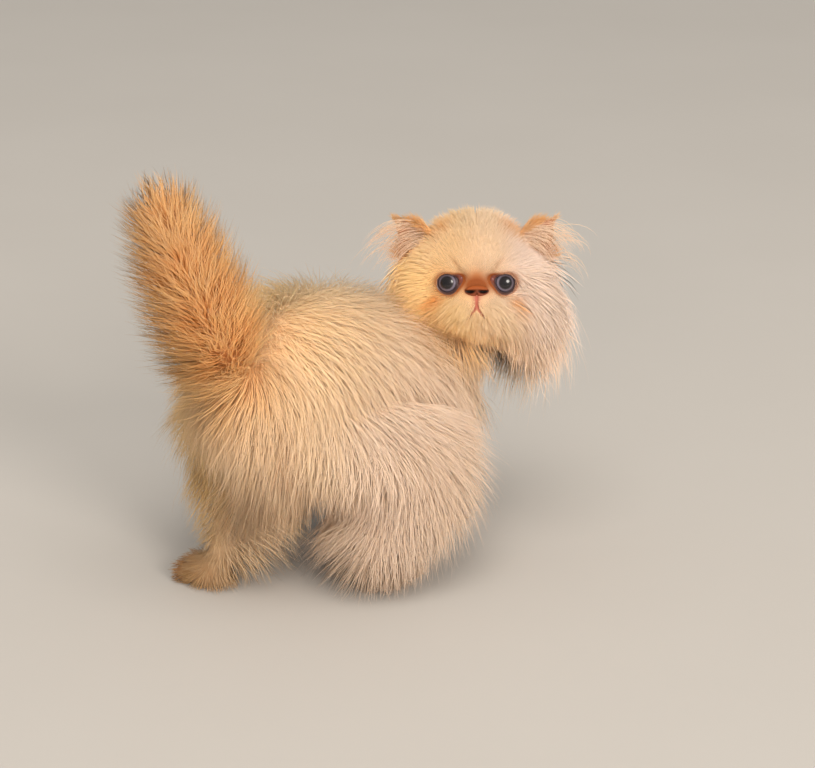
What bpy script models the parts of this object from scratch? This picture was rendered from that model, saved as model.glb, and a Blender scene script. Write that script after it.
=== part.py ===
"""A Persian kitten at life size. It stands with its tail up and looks back over its right shoulder.

Frame: the floor is z = 0, the body faces -Y, +X is the animal's left and +Z is up. Blender's unit is the metre,
and the tables of sizes below are in millimetres. Each body part is its own closed mesh. The long coat is made of
flat, tapered locks that lie over one another along the coat's lie, each fused to the part that it grows from.
"""

import math

import bmesh
import bpy
import numpy as np

MM = 0.001
GAP = 0.3  # left between parts that touch
SIDE = np.array((1.0, 0.0, 0.0))  # the animal's left
UP = np.array((0.0, 0.0, 1.0))
BACK = np.array((0.0, 1.0, 0.0))  # from the chest towards the tail

# A limb is a row of sections: x, y, z of its middle, then the half width sideways and the half depth.
TORSO = [
    (0, 34, 108, 18, 20),
    (0, 18, 106, 33, 33),
    (0, -6, 102, 40, 38),
    (-4, -32, 94, 41, 38),
    (-12, -57, 84, 40, 36),
    (-21, -78, 77, 35, 33),
    (-28, -93, 76, 26, 27),
]
NECK = [(-27, -88, 94, 25, 24), (-37, -102, 112, 23, 23), (-44, -108, 132, 22, 22)]
TAIL = [
    (0, 36, 112, 9, 9),
    (3, 48, 124, 7.5, 7.5),
    (9, 57, 146, 6.5, 6.5),
    (20, 62, 175, 5.5, 5.5),
    (32, 63, 203, 4, 4),
]
HIND_LEGS = {
    "right": [
        (-20, 2, 98, 21, 30),
        (-41, -15, 80, 26, 33),
        (-52, -24, 62, 25, 30),
        (-58, -21, 45, 21, 27),
        (-58, -4, 30, 15, 19),
        (-56, 5, 18, 9, 11),
        (-55, 4, 11, 8, 8),
    ],
    "left": [
        (17, 4, 98, 20, 30),
        (29, -8, 80, 21, 30),
        (33, -14, 62, 19, 26),
        (29, 4, 44, 14, 18),
        (20, 26, 29, 9.5, 11),
        (19, 35, 18, 8, 9),
        (20, 37, 11, 7.5, 8),
    ],
}
FORE_LEGS = {
    "right": [(-38, -80, 78, 14, 19), (-45, -72, 54, 12, 15), (-43, -80, 34, 9, 10), (-43, -82, 14, 8, 8)],
    "left": [(-8, -86, 78, 14, 19), (-2, -79, 54, 12, 15), (-5, -87, 34, 9, 10), (-6, -90, 14, 8, 8)],
}
# A paw: the middle of its sole, and the way that it points in degrees, 0 straight ahead and positive to the left.
PAWS = {
    "right_hind_paw": ((-55, -6), -6),
    "left_hind_paw": ((27, 40), 80),
    "right_fore_paw": ((-43, -86), -4),
    "left_fore_paw": ((-6, -94), 4),
}
PAW_WIDTH, PAW_LENGTH, PAW_HEIGHT = 21.0, 29.0, 15.0

# The head is built about its middle on its own axes: to its left, to its front and up.
HEAD_AT = np.array((-61.0, -92.0, 144.0))
HEAD_TURN, HEAD_LIFT = 152.0, 10.0  # degrees: turned back over the right shoulder, and the face raised
SKULL = (32.5, 30.0, 30.5)  # half width, half depth and half height
EYE_AT, EYE_RADIUS = np.array((14.3, 17.6, -3.2)), 9.0
LID = 1.4  # thickness of an eyelid
EYE_OPENING = (7.6, 6.6)  # half width and half height between the lids
NOSE_HIGH, NOSE_SIZE = -6.0, (6.2, 3.6, 3.6)
# Swellings and dents of the face: left, front, up, height and spread. Those off the middle line are mirrored.
FACE = [
    (0, 20, 20, 2.5, 10),
    (13, 24, 8, 1.0, 5),
    (0, 28, 0, -2.4, 4.5),
    (7, 24, -14, 6.0, 5.2),
    (0, 27, -6, 1.6, 3.5),
    (0, 18, -22, 5.0, 5.0),
    (25, 10, -12, 4.5, 10),
]
MOUTH = [(0, -9.6), (0, -13.6), (2.6, -16.6), (4.8, -19.0), (9.0, -21.0)]  # from the nose down and out to a corner
MOUTH_GROOVE = 0.7
EAR_ROOT, EAR_TIP = np.array((27.0, -1.0, 13.0)), np.array((43.5, 3.0, 33.0))
EAR_WIDTH, EAR_CUP, EAR_WALL = 27.0, 7.0, 1.8

CORE = {"torso": 9.0, "neck": 7.0, "tail": 9.0, "hind": 9.0, "fore": 6.0}  # how far the dense undercoat reaches
SUNK = 5.0  # how deep a lock's root sits below the undercoat
COAT_SEED = 11

COAT_COLOURS = {"cream": (0.80, 0.62, 0.42), "orange": (0.74, 0.42, 0.20), "pale": (0.86, 0.72, 0.55)}


def unit(v):
    v = np.asarray(v, float)
    return v / np.linalg.norm(v, axis=-1, keepdims=True)


def smooth_rows(rows, count):
    """Rows read from a smooth Catmull-Rom curve through the given ones."""
    rows = np.array(rows, float)
    t = np.linspace(0, len(rows) - 1, count)
    i = np.clip(t.astype(int), 0, len(rows) - 2)
    f = (t - i)[:, None]
    before, here, after, beyond = (rows[np.clip(i + k, 0, len(rows) - 1)] for k in (-1, 0, 1, 2))
    bend = 2 * before - 5 * here + 4 * after - beyond
    return 0.5 * (2 * here + (after - before) * f + bend * f**2 + (3 * here - before - 3 * after + beyond) * f**3)


def section_axes(middles, level):
    """Along, sideways and across directions at each section. Level sections lie flat, as those of the legs do."""
    along = unit(np.gradient(middles, axis=0))
    facing = np.tile(-UP, (len(middles), 1)) if level else along
    sideways = unit(SIDE - facing * (facing @ SIDE)[:, None])
    return along, sideways, np.cross(sideways, facing)


def closed_grid(rings, first, last):
    """A closed mesh from a stack of equal rings of points and one pole at each end."""
    count, sides = len(rings), len(rings[0])
    points = np.concatenate([np.concatenate(rings), [first], [last]])
    faces = []
    for a in range(count - 1):
        for b in range(sides):
            c = (b + 1) % sides
            faces.append((a * sides + b, a * sides + c, (a + 1) * sides + c, (a + 1) * sides + b))
    for b in range(sides):
        c = (b + 1) % sides
        faces.append((c, b, count * sides))
        faces.append(((count - 1) * sides + b, (count - 1) * sides + c, count * sides + 1))
    return points, faces


def closed_strip(rings):
    """A closed mesh from a stack of thin rings: each runs along one face and back along the other."""
    count, sides = len(rings), len(rings[0])
    faces = []
    for a in range(count - 1):
        for b in range(sides):
            c = (b + 1) % sides
            faces.append((a * sides + b, a * sides + c, (a + 1) * sides + c, (a + 1) * sides + b))
    for b in range(sides // 2 - 1):
        far = sides - 1 - b
        faces.append((b + 1, b, far, far - 1))
        end = (count - 1) * sides
        faces.append((end + b, end + b + 1, end + far - 1, end + far))
    return np.concatenate(rings), faces


def limb(rows, grow, stations, sides, level=False):
    """A limb as elliptical rings along a smooth curve, with rounded ends. grow is added to every radius."""
    rows = smooth_rows(rows, stations)
    middles, radii = rows[:, :3], rows[:, 3:5] + grow
    along, sideways, across = section_axes(middles, level)
    turns = np.linspace(0, 2 * math.pi, sides, endpoint=False)

    def ring(i, scale, shift):
        middle = middles[i] + along[i] * shift
        return (
            middle
            + np.outer(np.cos(turns), sideways[i]) * radii[i, 0] * scale
            + np.outer(np.sin(turns), across[i]) * radii[i, 1] * scale
        )

    rings = []
    for end, sign in ((0, -1), (len(rows) - 1, 1)):
        dome = radii[end].mean() * 0.8
        caps = [ring(end, math.cos(a), sign * dome * math.sin(a)) for a in (math.radians(35), math.radians(65))]
        pole = middles[end] + along[end] * sign * dome
        rings.append((caps if sign > 0 else caps[::-1], pole))
    body = [ring(i, 1.0, 0.0) for i in range(len(rows))]
    return closed_grid(rings[0][0] + body + rings[1][0], rings[0][1], rings[1][1])


def ball(middle, radii, axes=None, around=16, rows=10):
    """An ellipsoid with its poles along its third axis."""
    axes = np.eye(3) if axes is None else np.asarray(axes)
    tilt = np.linspace(0, math.pi, rows + 1)[1:-1][::-1]
    turns = np.linspace(0, 2 * math.pi, around, endpoint=False)

    def at(a, t):
        local = np.stack([np.sin(a) * np.cos(t), np.sin(a) * np.sin(t), np.cos(a) + 0 * t], -1)
        return np.asarray(middle) + (local * np.asarray(radii)) @ axes

    rings = [at(a, turns) for a in tilt]
    return closed_grid(rings, at(math.pi, turns[:1])[0], at(0.0, turns[:1])[0])


def lock(root, lie, out, length, width, thick, rise, droop=0.0, sway=0.0, grow=0.0):
    """One flat, tapered lock. It leaves its root along out, bends over along lie and ends in a point.

    A grown lock is larger all round. Its sides and tip grow more than its faces, because its edges are sharp.
    """
    lie, out = unit(lie), unit(out)
    across = unit(np.cross(lie, out))
    steps = np.array((0.0, 0.34, 0.7))
    spine = root + np.outer(steps, lie) * length
    spine = spine + np.outer(-SUNK + (rise + SUNK) * (1 - (1 - steps) ** 2) - droop * steps**3, out)
    spine = spine + np.outer(sway * steps**2, across)
    tip = root + lie * length + out * (rise - droop) + across * sway
    tip = tip + unit(lie * length - out * 3 * droop + across * 2 * sway) * grow * 12
    spine[0] -= lie * grow
    corners = ((-1.0, -0.35), (1.0, -0.35), (0.0, 0.65))
    rings = []
    for middle, share in zip(spine, (0.72, 1.0, 0.66)):
        half, deep = width / 2 * share + 5 * grow, thick * share + 3 * grow
        rings.append(np.array([middle + across * a * half + out * b * deep for a, b in corners]))
    return facing_out(closed_grid(rings, spine[0], tip))


def inside_out(points, faces):
    """Whether a closed mesh's faces point inwards, from the sign of its volume."""
    volume = 0.0
    for face in faces:
        for k in range(1, len(face) - 1):
            a, b, c = points[face[0]], points[face[k]], points[face[k + 1]]
            volume += np.dot(a, np.cross(b, c))
    return volume < 0


def facing_out(mesh):
    points, faces = mesh
    return points, [face[::-1] for face in faces] if inside_out(points, faces) else faces


def make_object(name, mesh):
    points, faces = mesh
    data = bpy.data.meshes.new(name)
    data.from_pydata((np.asarray(points) * MM).tolist(), [], [list(face) for face in faces])
    obj = bpy.data.objects.new(name, data)
    bpy.context.scene.collection.objects.link(obj)
    return obj


def apply_modifiers(obj):
    evaluated = obj.evaluated_get(bpy.context.evaluated_depsgraph_get())
    data = bpy.data.meshes.new_from_object(evaluated)
    obj.modifiers.clear()
    old, obj.data = obj.data, data
    bpy.data.meshes.remove(old)


def fuse(name, meshes):
    """One closed object from several closed meshes that run into one another."""
    obj = make_object(name, facing_out(meshes[0]))
    if len(meshes) > 1:
        others = bpy.data.collections.new(name + "_pieces")
        bpy.context.scene.collection.children.link(others)
        for mesh in meshes[1:]:
            piece = make_object(name + "_piece", facing_out(mesh))
            bpy.context.scene.collection.objects.unlink(piece)
            others.objects.link(piece)
        union = obj.modifiers.new("union", "BOOLEAN")
        union.operation, union.operand_type, union.solver = "UNION", "COLLECTION", "MANIFOLD"
        union.collection = others
        apply_modifiers(obj)
        for piece in list(others.objects):
            bpy.data.objects.remove(piece)
        bpy.data.collections.remove(others)
    keep_largest(obj)
    return obj


def cut(obj, cutters):
    """Takes the cutters' space away from obj."""
    for cutter in cutters:
        take = obj.modifiers.new("cut", "BOOLEAN")
        take.operation, take.object, take.solver = "DIFFERENCE", cutter, "MANIFOLD"
        apply_modifiers(obj)


def keep_largest(obj):
    """Keeps only the largest closed surface of a mesh, without loose scraps and sealed hollows."""
    mesh = bmesh.new()
    mesh.from_mesh(obj.data)
    seen, shells = set(), []
    for start in mesh.faces:
        if start.index in seen:
            continue
        seen.add(start.index)
        shell, waiting = [], [start]
        while waiting:
            face = waiting.pop()
            shell.append(face)
            for edge in face.edges:
                for other in edge.link_faces if len(edge.link_faces) == 2 else ():
                    if other.index not in seen:
                        seen.add(other.index)
                        waiting.append(other)
        shells.append(shell)

    def volume(shell):
        total = 0.0
        for face in shell:
            corners = [v.co for v in face.verts]
            for k in range(1, len(corners) - 1):
                total += corners[0].dot(corners[k].cross(corners[k + 1]))
        return total

    best = max(shells, key=volume)
    drop = [face for shell in shells if shell is not best for face in shell]
    bmesh.ops.delete(mesh, geom=drop, context="FACES")
    bmesh.ops.delete(mesh, geom=[v for v in mesh.verts if not v.link_faces], context="VERTS")
    mesh.to_mesh(obj.data)
    mesh.free()


class Part:
    """A body part: the closed meshes that it is fused from, as a function of how much they are grown."""

    def __init__(self, name, meshes, colour, cuts=()):
        self.name, self.meshes, self.colour, self.cuts = name, meshes, colour, cuts

    def build(self, earlier):
        """Fuses the part, cuts it clear of the parts built before it, and leaves a grown copy to cut later ones."""
        obj = fuse(self.name, self.meshes(0.0))
        cut(obj, [other for other in earlier if boxes_meet(obj, other)])
        if self.cuts:
            tools = [make_object("cutter", facing_out(mesh)) for mesh in self.cuts]
            cut(obj, tools)
            for tool in tools:
                bpy.data.objects.remove(tool)
        keep_largest(obj)
        obj.data.materials.clear()
        obj.data.materials.append(coat_material(self.colour))
        return obj, fuse(self.name + "_grown", self.meshes(GAP))


def boxes_meet(a, b):
    ends = []
    for obj in (a, b):
        points = np.array([v.co for v in obj.data.vertices])
        ends.append((points.min(0), points.max(0)))
    return bool((ends[0][0] < ends[1][1]).all() and (ends[1][0] < ends[0][1]).all())


def coat_material(colour):
    name = colour + "_coat" if colour in COAT_COLOURS else colour
    found = bpy.data.materials.get(name)
    if found:
        return found
    material = bpy.data.materials.new(name)
    material.use_nodes = True
    shader = material.node_tree.nodes["Principled BSDF"]
    base = {**COAT_COLOURS, "nose_leather": (0.42, 0.16, 0.08), "eye": (0.10, 0.11, 0.13)}[colour]
    shader.inputs["Base Color"].default_value = (*base, 1.0)
    shader.inputs["Roughness"].default_value = 0.1 if colour == "eye" else 0.75
    shader.inputs["Metallic"].default_value = 0.0
    return material


def coat_rows(
    rows, core, starts, around, lie, length, width, thick, rise, droop, seed, level=False, skip=None, flat_top=0.0
):
    """Places of locks on a limb's undercoat: staggered rings of roots, each with its lie and its own small changes.

    starts are shares of the limb's length. Sizes may be one number or one for each ring. flat_top is the share by
    which locks on the back rise less.
    """
    sections = smooth_rows(rows, 101)
    along, sideways, across = section_axes(sections[:, :3], level)
    draw = np.random.RandomState(COAT_SEED + seed)
    made = []
    for n, share in enumerate(starts):
        i = int(round(share * 100))
        given = (around, length, width, thick, rise, droop)
        sizes = [value[n] if isinstance(value, (list, tuple)) else value for value in given]
        for k in range(sizes[0]):
            turn = 2 * math.pi * (k + 0.5 * (n % 2) + draw.uniform(-0.12, 0.12)) / sizes[0]
            a, b = sections[i, 3] + core, sections[i, 4] + core
            root = sections[i, :3] + sideways[i] * a * math.cos(turn) + across[i] * b * math.sin(turn)
            out = unit(sideways[i] * math.cos(turn) / a + across[i] * math.sin(turn) / b)
            if skip is not None and skip(root, out):
                continue
            flow = lie(root, out, along[i])
            flow = unit(flow - out * np.dot(flow, out))
            vary = draw.uniform(0.88, 1.12, 3)
            made.append(
                dict(
                    root=root,
                    lie=flow,
                    out=out,
                    length=sizes[1] * vary[0],
                    width=sizes[2] * vary[1],
                    thick=sizes[3],
                    rise=sizes[4] * vary[2] * (1 - flat_top * max(out[2], 0.0)),
                    droop=sizes[5],
                    sway=draw.uniform(-0.12, 0.12) * sizes[1],
                )
            )
    return made


def locks_of(places, floor=1.2):
    """The locks at these places, as a function of how much they are grown. None goes below the floor's clearance."""

    def made(grow):
        out = []
        for place in places:
            points, faces = lock(grow=grow, **place)
            high, low = place["root"][2], points[:, 2].min()
            if low < floor - grow:
                points[:, 2] = high + (points[:, 2] - high) * (high - floor + grow) / (high - low)
            out.append((points, faces))
        return out

    return made


def torso():
    def lie(root, out, along):
        return BACK * 0.9 - UP * (0.2 + 0.9 * (1 - abs(out[2])))

    places = coat_rows(
        TORSO, CORE["torso"], (0.05, 0.22, 0.39, 0.56, 0.74, 0.93), [5, 6, 6, 6, 5, 6], lie,
        42.0, 37.0, 6.0, 10.0, 5.0, seed=1, flat_top=0.4,
    )
    places += end_locks(TORSO[0], BACK, ((-0.75, 0.25), (0.75, 0.25), (0.0, -0.15), (-0.55, -0.6), (0.55, -0.6)))
    places += end_locks(TORSO[-1], -BACK, ((-0.6, 0.2), (0.6, 0.2), (0.0, -0.4)))
    coat = locks_of(places)
    return Part("torso", lambda grow: [limb(TORSO, CORE["torso"] + grow, 12, 20), *coat(grow)], "cream")


def end_locks(section, facing, ways):
    """Locks that fall over an end of the torso: the rump below the tail's root, or the chest."""
    x, y, z, wide, deep = section
    reach = (wide + CORE["torso"], (wide + deep) * 0.4 + CORE["torso"] * 0.8, deep + CORE["torso"])
    places = []
    draw = np.random.RandomState(COAT_SEED + int(z))
    for sideways, up in ways:
        out = unit(SIDE * sideways + facing * 0.8 + UP * up)
        fall = -UP + SIDE * sideways * 0.3
        lie = unit(fall - out * np.dot(fall, out))
        places.append(
            dict(
                root=np.array((x, y, z)) + out * reach,
                lie=lie,
                out=out,
                length=36 * draw.uniform(0.9, 1.1),
                width=27.0,
                thick=6.0,
                rise=10.0,
                droop=3.0,
            )
        )
    return places


def neck():
    def lie(root, out, along):
        return -UP * 0.9 + BACK * -0.1 + out * 0.2

    places = coat_rows(
        NECK, CORE["neck"], (0.3, 0.66, 0.98), [5, 5, 6], lie,
        [38, 40, 36], 29.0, 5.0, [9.0, 13.0, 13.0], 2.0, seed=2,
    )
    coat = locks_of(places)
    return Part("neck", lambda grow: [limb(NECK, CORE["neck"] + grow, 6, 16), *coat(grow)], "pale")


def tail():
    def lie(root, out, along):
        return along

    places = coat_rows(
        TAIL, CORE["tail"], (0.12, 0.31, 0.50, 0.69, 0.88), [6, 6, 6, 6, 5], lie,
        [32, 36, 38, 36, 30], [22, 25, 25, 23, 18], 5.0, [13, 16, 16, 14, 9], 0.0, seed=3,
    )
    coat = locks_of(places)
    return Part("tail", lambda grow: [limb(TAIL, CORE["tail"] + grow, 9, 12), *coat(grow)], "orange")


def leg(name, rows, undercoat, starts, around, lengths, widths, rises, seed, colour):
    """A leg in level sections, whose undercoat thins from undercoat at the top to nearly nothing at the foot."""

    def lie(root, out, along):
        return -UP + BACK * 0.3

    thinning = np.interp(np.linspace(0, 1, len(rows)), (0.0, 0.5, 1.0), (undercoat, undercoat * 0.75, 1.0))
    rows = [(*row[:3], row[3] + more, row[4] + more) for row, more in zip(rows, thinning)]
    places = coat_rows(rows, 0.0, starts, around, lie, lengths, widths, 5.0, rises, 5.0, seed=seed, level=True)
    coat = locks_of(places)
    return Part(name, lambda grow: [limb(rows, grow, 9, 14, level=True), *coat(grow)], colour)


def hind_leg(side):
    starts, around = (0.26, 0.44, 0.62, 0.80), [5, 6, 6, 5]
    return leg(
        side + "_hind_leg", HIND_LEGS[side], CORE["hind"], starts, around,
        [36, 36, 32, 22], [27, 26, 23, 17], [13, 13, 13, 12], seed=4 if side == "left" else 5, colour="cream",
    )


def fore_leg(side):
    return leg(
        side + "_fore_leg", FORE_LEGS[side], CORE["fore"], (0.36, 0.62), [5, 5],
        [28, 24], [18, 16], [9, 7], seed=6 if side == "left" else 7, colour="pale",
    )


def paw(name):
    """A rounded foot with four toes in front, flat underneath where it stands."""
    (x, y), heading = PAWS[name]
    turn = math.radians(heading)
    ahead = np.array((math.sin(turn), -math.cos(turn), 0.0))
    left = np.array((math.cos(turn), math.sin(turn), 0.0))
    axes = np.array((left, ahead, UP))

    def meshes(grow):
        made = [
            ball(
                (x, y, PAW_HEIGHT * 0.42),
                (PAW_WIDTH / 2 + grow, PAW_LENGTH / 2 + grow, PAW_HEIGHT * 0.58 + grow),
                axes,
                around=10,
                rows=6,
            )
        ]
        for place in (-1.5, -0.5, 0.5, 1.5):
            forward = PAW_LENGTH * (0.36 - 0.05 * abs(place) ** 1.5)
            middle = np.array((x, y, PAW_HEIGHT * 0.33)) + left * place * PAW_WIDTH * 0.25 + ahead * forward
            size = (PAW_WIDTH * 0.15 + grow, PAW_LENGTH * 0.2 + grow, PAW_HEIGHT * 0.40 + grow)
            made.append(ball(middle, size, axes, around=6, rows=4))
        for points, _ in made:
            points[:, 2] = np.maximum(points[:, 2], 0.0)
        return made

    return Part(name, meshes, "orange")


def head_axes():
    turn = math.radians(-90 - HEAD_TURN)
    lift = math.radians(HEAD_LIFT)
    front = np.array((math.cos(turn) * math.cos(lift), math.sin(turn) * math.cos(lift), math.sin(lift)))
    left = unit(np.cross(UP, front))
    return np.array((left, front, np.cross(front, left)))


HEAD_AXES = head_axes()


def on_head(points):
    """World places of points given to the head's left, front and up."""
    return HEAD_AT + np.asarray(points, float) @ HEAD_AXES


def mirrored(point, side):
    return np.asarray(point, float) * ((1 if side == "left" else -1), 1, 1)


def head_radius(directions):
    """How far the face reaches in each direction: an ellipsoid with smooth swellings and dents added."""
    radius = 1 / np.sqrt(((directions / np.array(SKULL)) ** 2).sum(-1))
    for left, front, up, height, spread in FACE:
        for middle in {(left, front, up), (-left, front, up)}:
            far = np.linalg.norm(middle)
            off = far * np.sqrt(np.maximum(2 - 2 * directions @ (np.array(middle) / far), 0))
            radius = radius + height * np.exp(-(off**2) / (2 * spread**2))
    return radius


def face_point(left, up):
    """The point of the face that has this place to the left and up, found by walking along the front axis."""
    front = 28.0
    for _ in range(12):
        place = np.array((left, front, up), float)
        reach = head_radius(unit(place)[None])[0]
        front += (reach - np.linalg.norm(place)) * 0.9
    return np.array((left, front, up))


def skull_mesh(grow):
    tilts = np.radians([7, 13, 19, 25, 31, 37, 43, 50, 58, 68, 81, 97, 117, 145])
    turns = np.linspace(0, 2 * math.pi, 36, endpoint=False)

    def ring(tilt):
        flat = np.stack([np.cos(turns), 0 * turns, np.sin(turns)], -1) * math.sin(tilt)
        ways = flat + np.array((0, math.cos(tilt), 0))
        return on_head(ways * (head_radius(ways) + grow)[:, None])

    poles = [on_head(np.array((0, s, 0)) * (head_radius(np.array([(0.0, s, 0.0)]))[0] + grow)) for s in (1.0, -1.0)]
    return closed_grid([ring(tilt) for tilt in tilts], poles[0], poles[1])


def wire(path, radius, sides=4):
    """A thin round rod along a path, used to press grooves."""
    path = np.asarray(path, float)
    rows = [(*p, radius, radius) for p in path]
    middles = path
    along = unit(np.gradient(middles, axis=0))
    hint = np.array((0.31, 0.9, 0.3))
    sideways = unit(hint - along * (along @ hint)[:, None])
    across = np.cross(sideways, along)
    turns = np.linspace(0, 2 * math.pi, sides, endpoint=False)
    rings = [
        middles[i] + np.outer(np.cos(turns), sideways[i]) * radius + np.outer(np.sin(turns), across[i]) * radius
        for i in range(len(rows))
    ]
    return closed_grid(rings, middles[0], middles[-1])


def eye_prism(side):
    """The almond between the lids, as a bar along the front axis with a pointed inner corner."""
    turns = np.linspace(0, 2 * math.pi, 18, endpoint=False)
    wide, high = EYE_OPENING
    x = wide * np.cos(turns)
    z = high * np.sin(turns) * (0.86 + 0.14 * np.cos(turns)) - 0.05 * x
    ring = np.stack([EYE_AT[0] + x, 0 * x, EYE_AT[2] + z], -1)
    rings = [on_head(mirrored(ring + np.array((0, front, 0)), side)) for front in (EYE_AT[1] + 1.0, 45.0)]
    poles = [on_head(mirrored((EYE_AT[0], front, EYE_AT[2]), side)) for front in (EYE_AT[1] + 1.0, 45.0)]
    return closed_grid(rings, poles[0], poles[1])


def cheek_locks(side):
    """Locks of the cheeks and jowls. They leave the face's edge and sweep back, out and down."""
    places = []
    draw = np.random.RandomState(COAT_SEED + (20 if side == "left" else 21))
    free = 1.35 if side == "left" else 1.0  # the turned head leaves the left cheek's ruff hanging free
    for row, (tilt, length, width) in enumerate(((70, 26, 17), (96, 32, 20))):
        for turn in (14, -14, -42, -70):
            turn = math.radians(turn + draw.uniform(-4, 4) + 8 * (row % 2))
            tilt_now = math.radians(tilt + draw.uniform(-3, 3))
            aside = math.sin(tilt_now)
            way = np.array((aside * math.cos(turn), math.cos(tilt_now), aside * math.sin(turn)))
            root = way * head_radius(way[None])[0]
            lie = np.array((0.55 * math.cos(turn), -0.8, -0.75))
            out = unit(way)
            lie = unit(lie - out * np.dot(lie, out) * 0.75)
            places.append(
                dict(
                    root=on_head(mirrored(root, side)),
                    lie=mirrored(lie, side) @ HEAD_AXES,
                    out=mirrored(out, side) @ HEAD_AXES,
                    length=length * draw.uniform(0.9, 1.1) * free,
                    width=width,
                    thick=4.0,
                    rise=9.0,
                    droop=2.0,
                    sway=draw.uniform(-3, 3),
                )
            )
    return places


def nape_locks():
    """Locks of the crown and the back of the head, which fall back and down over the nape."""
    places = []
    draw = np.random.RandomState(COAT_SEED + 22)
    for tilt, turns in ((118, (150, 90, 30)), (152, (-165, 95, -15))):
        for turn in turns:
            turn, lean = math.radians(turn + draw.uniform(-6, 6)), math.radians(tilt + draw.uniform(-3, 3))
            way = np.array((math.sin(lean) * math.cos(turn), math.cos(lean), math.sin(lean) * math.sin(turn)))
            lie = np.array((0.3 * way[0], -0.45, -0.9))
            lie = unit(lie - way * np.dot(lie, way) * 0.8)
            places.append(
                dict(
                    root=on_head(way * head_radius(way[None])[0]),
                    lie=lie @ HEAD_AXES,
                    out=way @ HEAD_AXES,
                    length=27 * draw.uniform(0.9, 1.1),
                    width=22.0,
                    thick=4.0,
                    rise=10.5,
                    droop=1.0,
                    sway=draw.uniform(-3, 3),
                )
            )
    return places


def head():
    coat = locks_of(cheek_locks("left") + cheek_locks("right") + nape_locks())

    def meshes(grow):
        made = [skull_mesh(grow)]
        for side in ("left", "right"):
            made.append(ball(on_head(mirrored(EYE_AT, side)), [EYE_RADIUS + GAP + LID + grow] * 3, HEAD_AXES, 14, 9))
        return made + coat(grow)

    tools = []
    for side in ("left", "right"):
        tools.append(eye_prism(side))
        path = smooth_rows([on_head(mirrored(face_point(*place), side)) for place in MOUTH], 9)
        tools.append(wire(path, MOUTH_GROOVE))
    return Part("head", meshes, "cream", cuts=tools)


def eye(side):
    middle = on_head(mirrored(EYE_AT, side))
    return Part(side + "_eye", lambda grow: [ball(middle, [EYE_RADIUS + grow] * 3, HEAD_AXES, 12, 9)], "eye")


def nose():
    """The bare leather of the nose, half sunk in the face, with two slits."""
    middle_of_nose = face_point(0.0, NOSE_HIGH) + np.array((0.0, 0.4, 0.0))
    nostrils = []
    for side in ("left", "right"):
        middle = middle_of_nose + mirrored((2.9, NOSE_SIZE[1] * 0.8, -0.9), side)
        nostrils.append(ball(on_head(middle), (1.9, 1.6, 0.7), HEAD_AXES, 6, 4))

    def meshes(grow):
        return [ball(on_head(middle_of_nose), np.array(NOSE_SIZE) + grow, HEAD_AXES, 12, 7)]

    return Part("nose", meshes, "nose_leather", nostrils)


def ear(side):
    """A cupped, pointed ear that opens forwards and outwards, with long locks from its inner edge."""
    rise = EAR_TIP - EAR_ROOT
    tall = unit(rise)
    opens = unit(np.array((0.45, 1.0, -0.1)) - tall * np.dot((0.45, 1.0, -0.1), tall))
    across = np.cross(tall, opens)
    steps, spread = np.linspace(-0.22, 1.0, 7), np.linspace(-1, 1, 7)

    def sheet(offset, grow):
        rings = []
        for t in steps:
            half = (EAR_WIDTH / 2 + grow) * (1 - max(t, 0) ** 1.6) ** 0.8 if t < 1 else 0.6 + grow
            rows = []
            up = t + (grow / 26.0 if t >= 1 else 0)
            for s in spread:
                deep = EAR_CUP * (s * s) * (1 - 0.55 * max(t, 0))
                rows.append(EAR_ROOT + rise * up + across * half * s + opens * (deep + offset))
            rings.append(rows)
        return np.array(rings)

    def shell(grow):
        front, back = sheet(EAR_WALL / 2 + grow, grow), sheet(-EAR_WALL / 2 - grow, grow)
        rings = [np.concatenate([f, b[::-1]]) for f, b in zip(front, back)]
        rings = [on_head(mirrored(ring, side)) for ring in rings]
        return closed_strip(rings)

    places = []
    for k, (share, long, lift) in enumerate(((0.10, 30, 4), (0.34, 31, 6), (0.58, 26, 8))):
        root = EAR_ROOT + rise * share + across * EAR_WIDTH * 0.16 * (1 - share) + opens * (EAR_WALL / 2)
        lie = unit(np.array((1.0, 0.25, -0.75 + 0.65 * k / 2)))
        places.append(
            dict(
                root=on_head(mirrored(root, side)),
                lie=mirrored(lie, side) @ HEAD_AXES,
                out=mirrored(unit(opens + 0.2 * tall), side) @ HEAD_AXES,
                length=long,
                width=6.5,
                thick=2.2,
                rise=lift,
                droop=6.0,
            )
        )

    def meshes(grow):
        locks = []
        for place in places:
            points, faces = lock(grow=grow, **place)
            locks.append((points, faces))
        return [shell(grow), *locks]

    return Part(side + "_ear", meshes, "orange")


def parts_in_order():
    """Every body part. Each is cut clear of those before it."""
    yield from (eye(side) for side in ("left", "right"))
    yield nose()
    yield head()
    yield from (ear(side) for side in ("left", "right"))
    yield neck()
    yield torso()
    yield from (paw(name) for name in PAWS)
    yield from (hind_leg(side) for side in ("left", "right"))
    yield from (fore_leg(side) for side in ("left", "right"))
    yield tail()


def main():
    """Builds every part, and hangs them all on one empty."""
    for obj in list(bpy.data.objects):
        bpy.data.objects.remove(obj)
    kitten = bpy.data.objects.new("kitten", None)
    bpy.context.scene.collection.objects.link(kitten)
    grown = []
    for part in parts_in_order():
        obj, bigger = part.build(grown)
        obj.parent = kitten
        bigger.hide_render = True
        grown.append(bigger)
    for bigger in grown:
        bpy.data.objects.remove(bigger)
    corners = np.array([v.co for obj in kitten.children for v in obj.data.vertices])
    middle = (corners.min(0) + corners.max(0)) / 2
    kitten.location = (-middle[0], -middle[1], 0.0)  # the origin is on the floor under the bounding box's middle


main()
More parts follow.
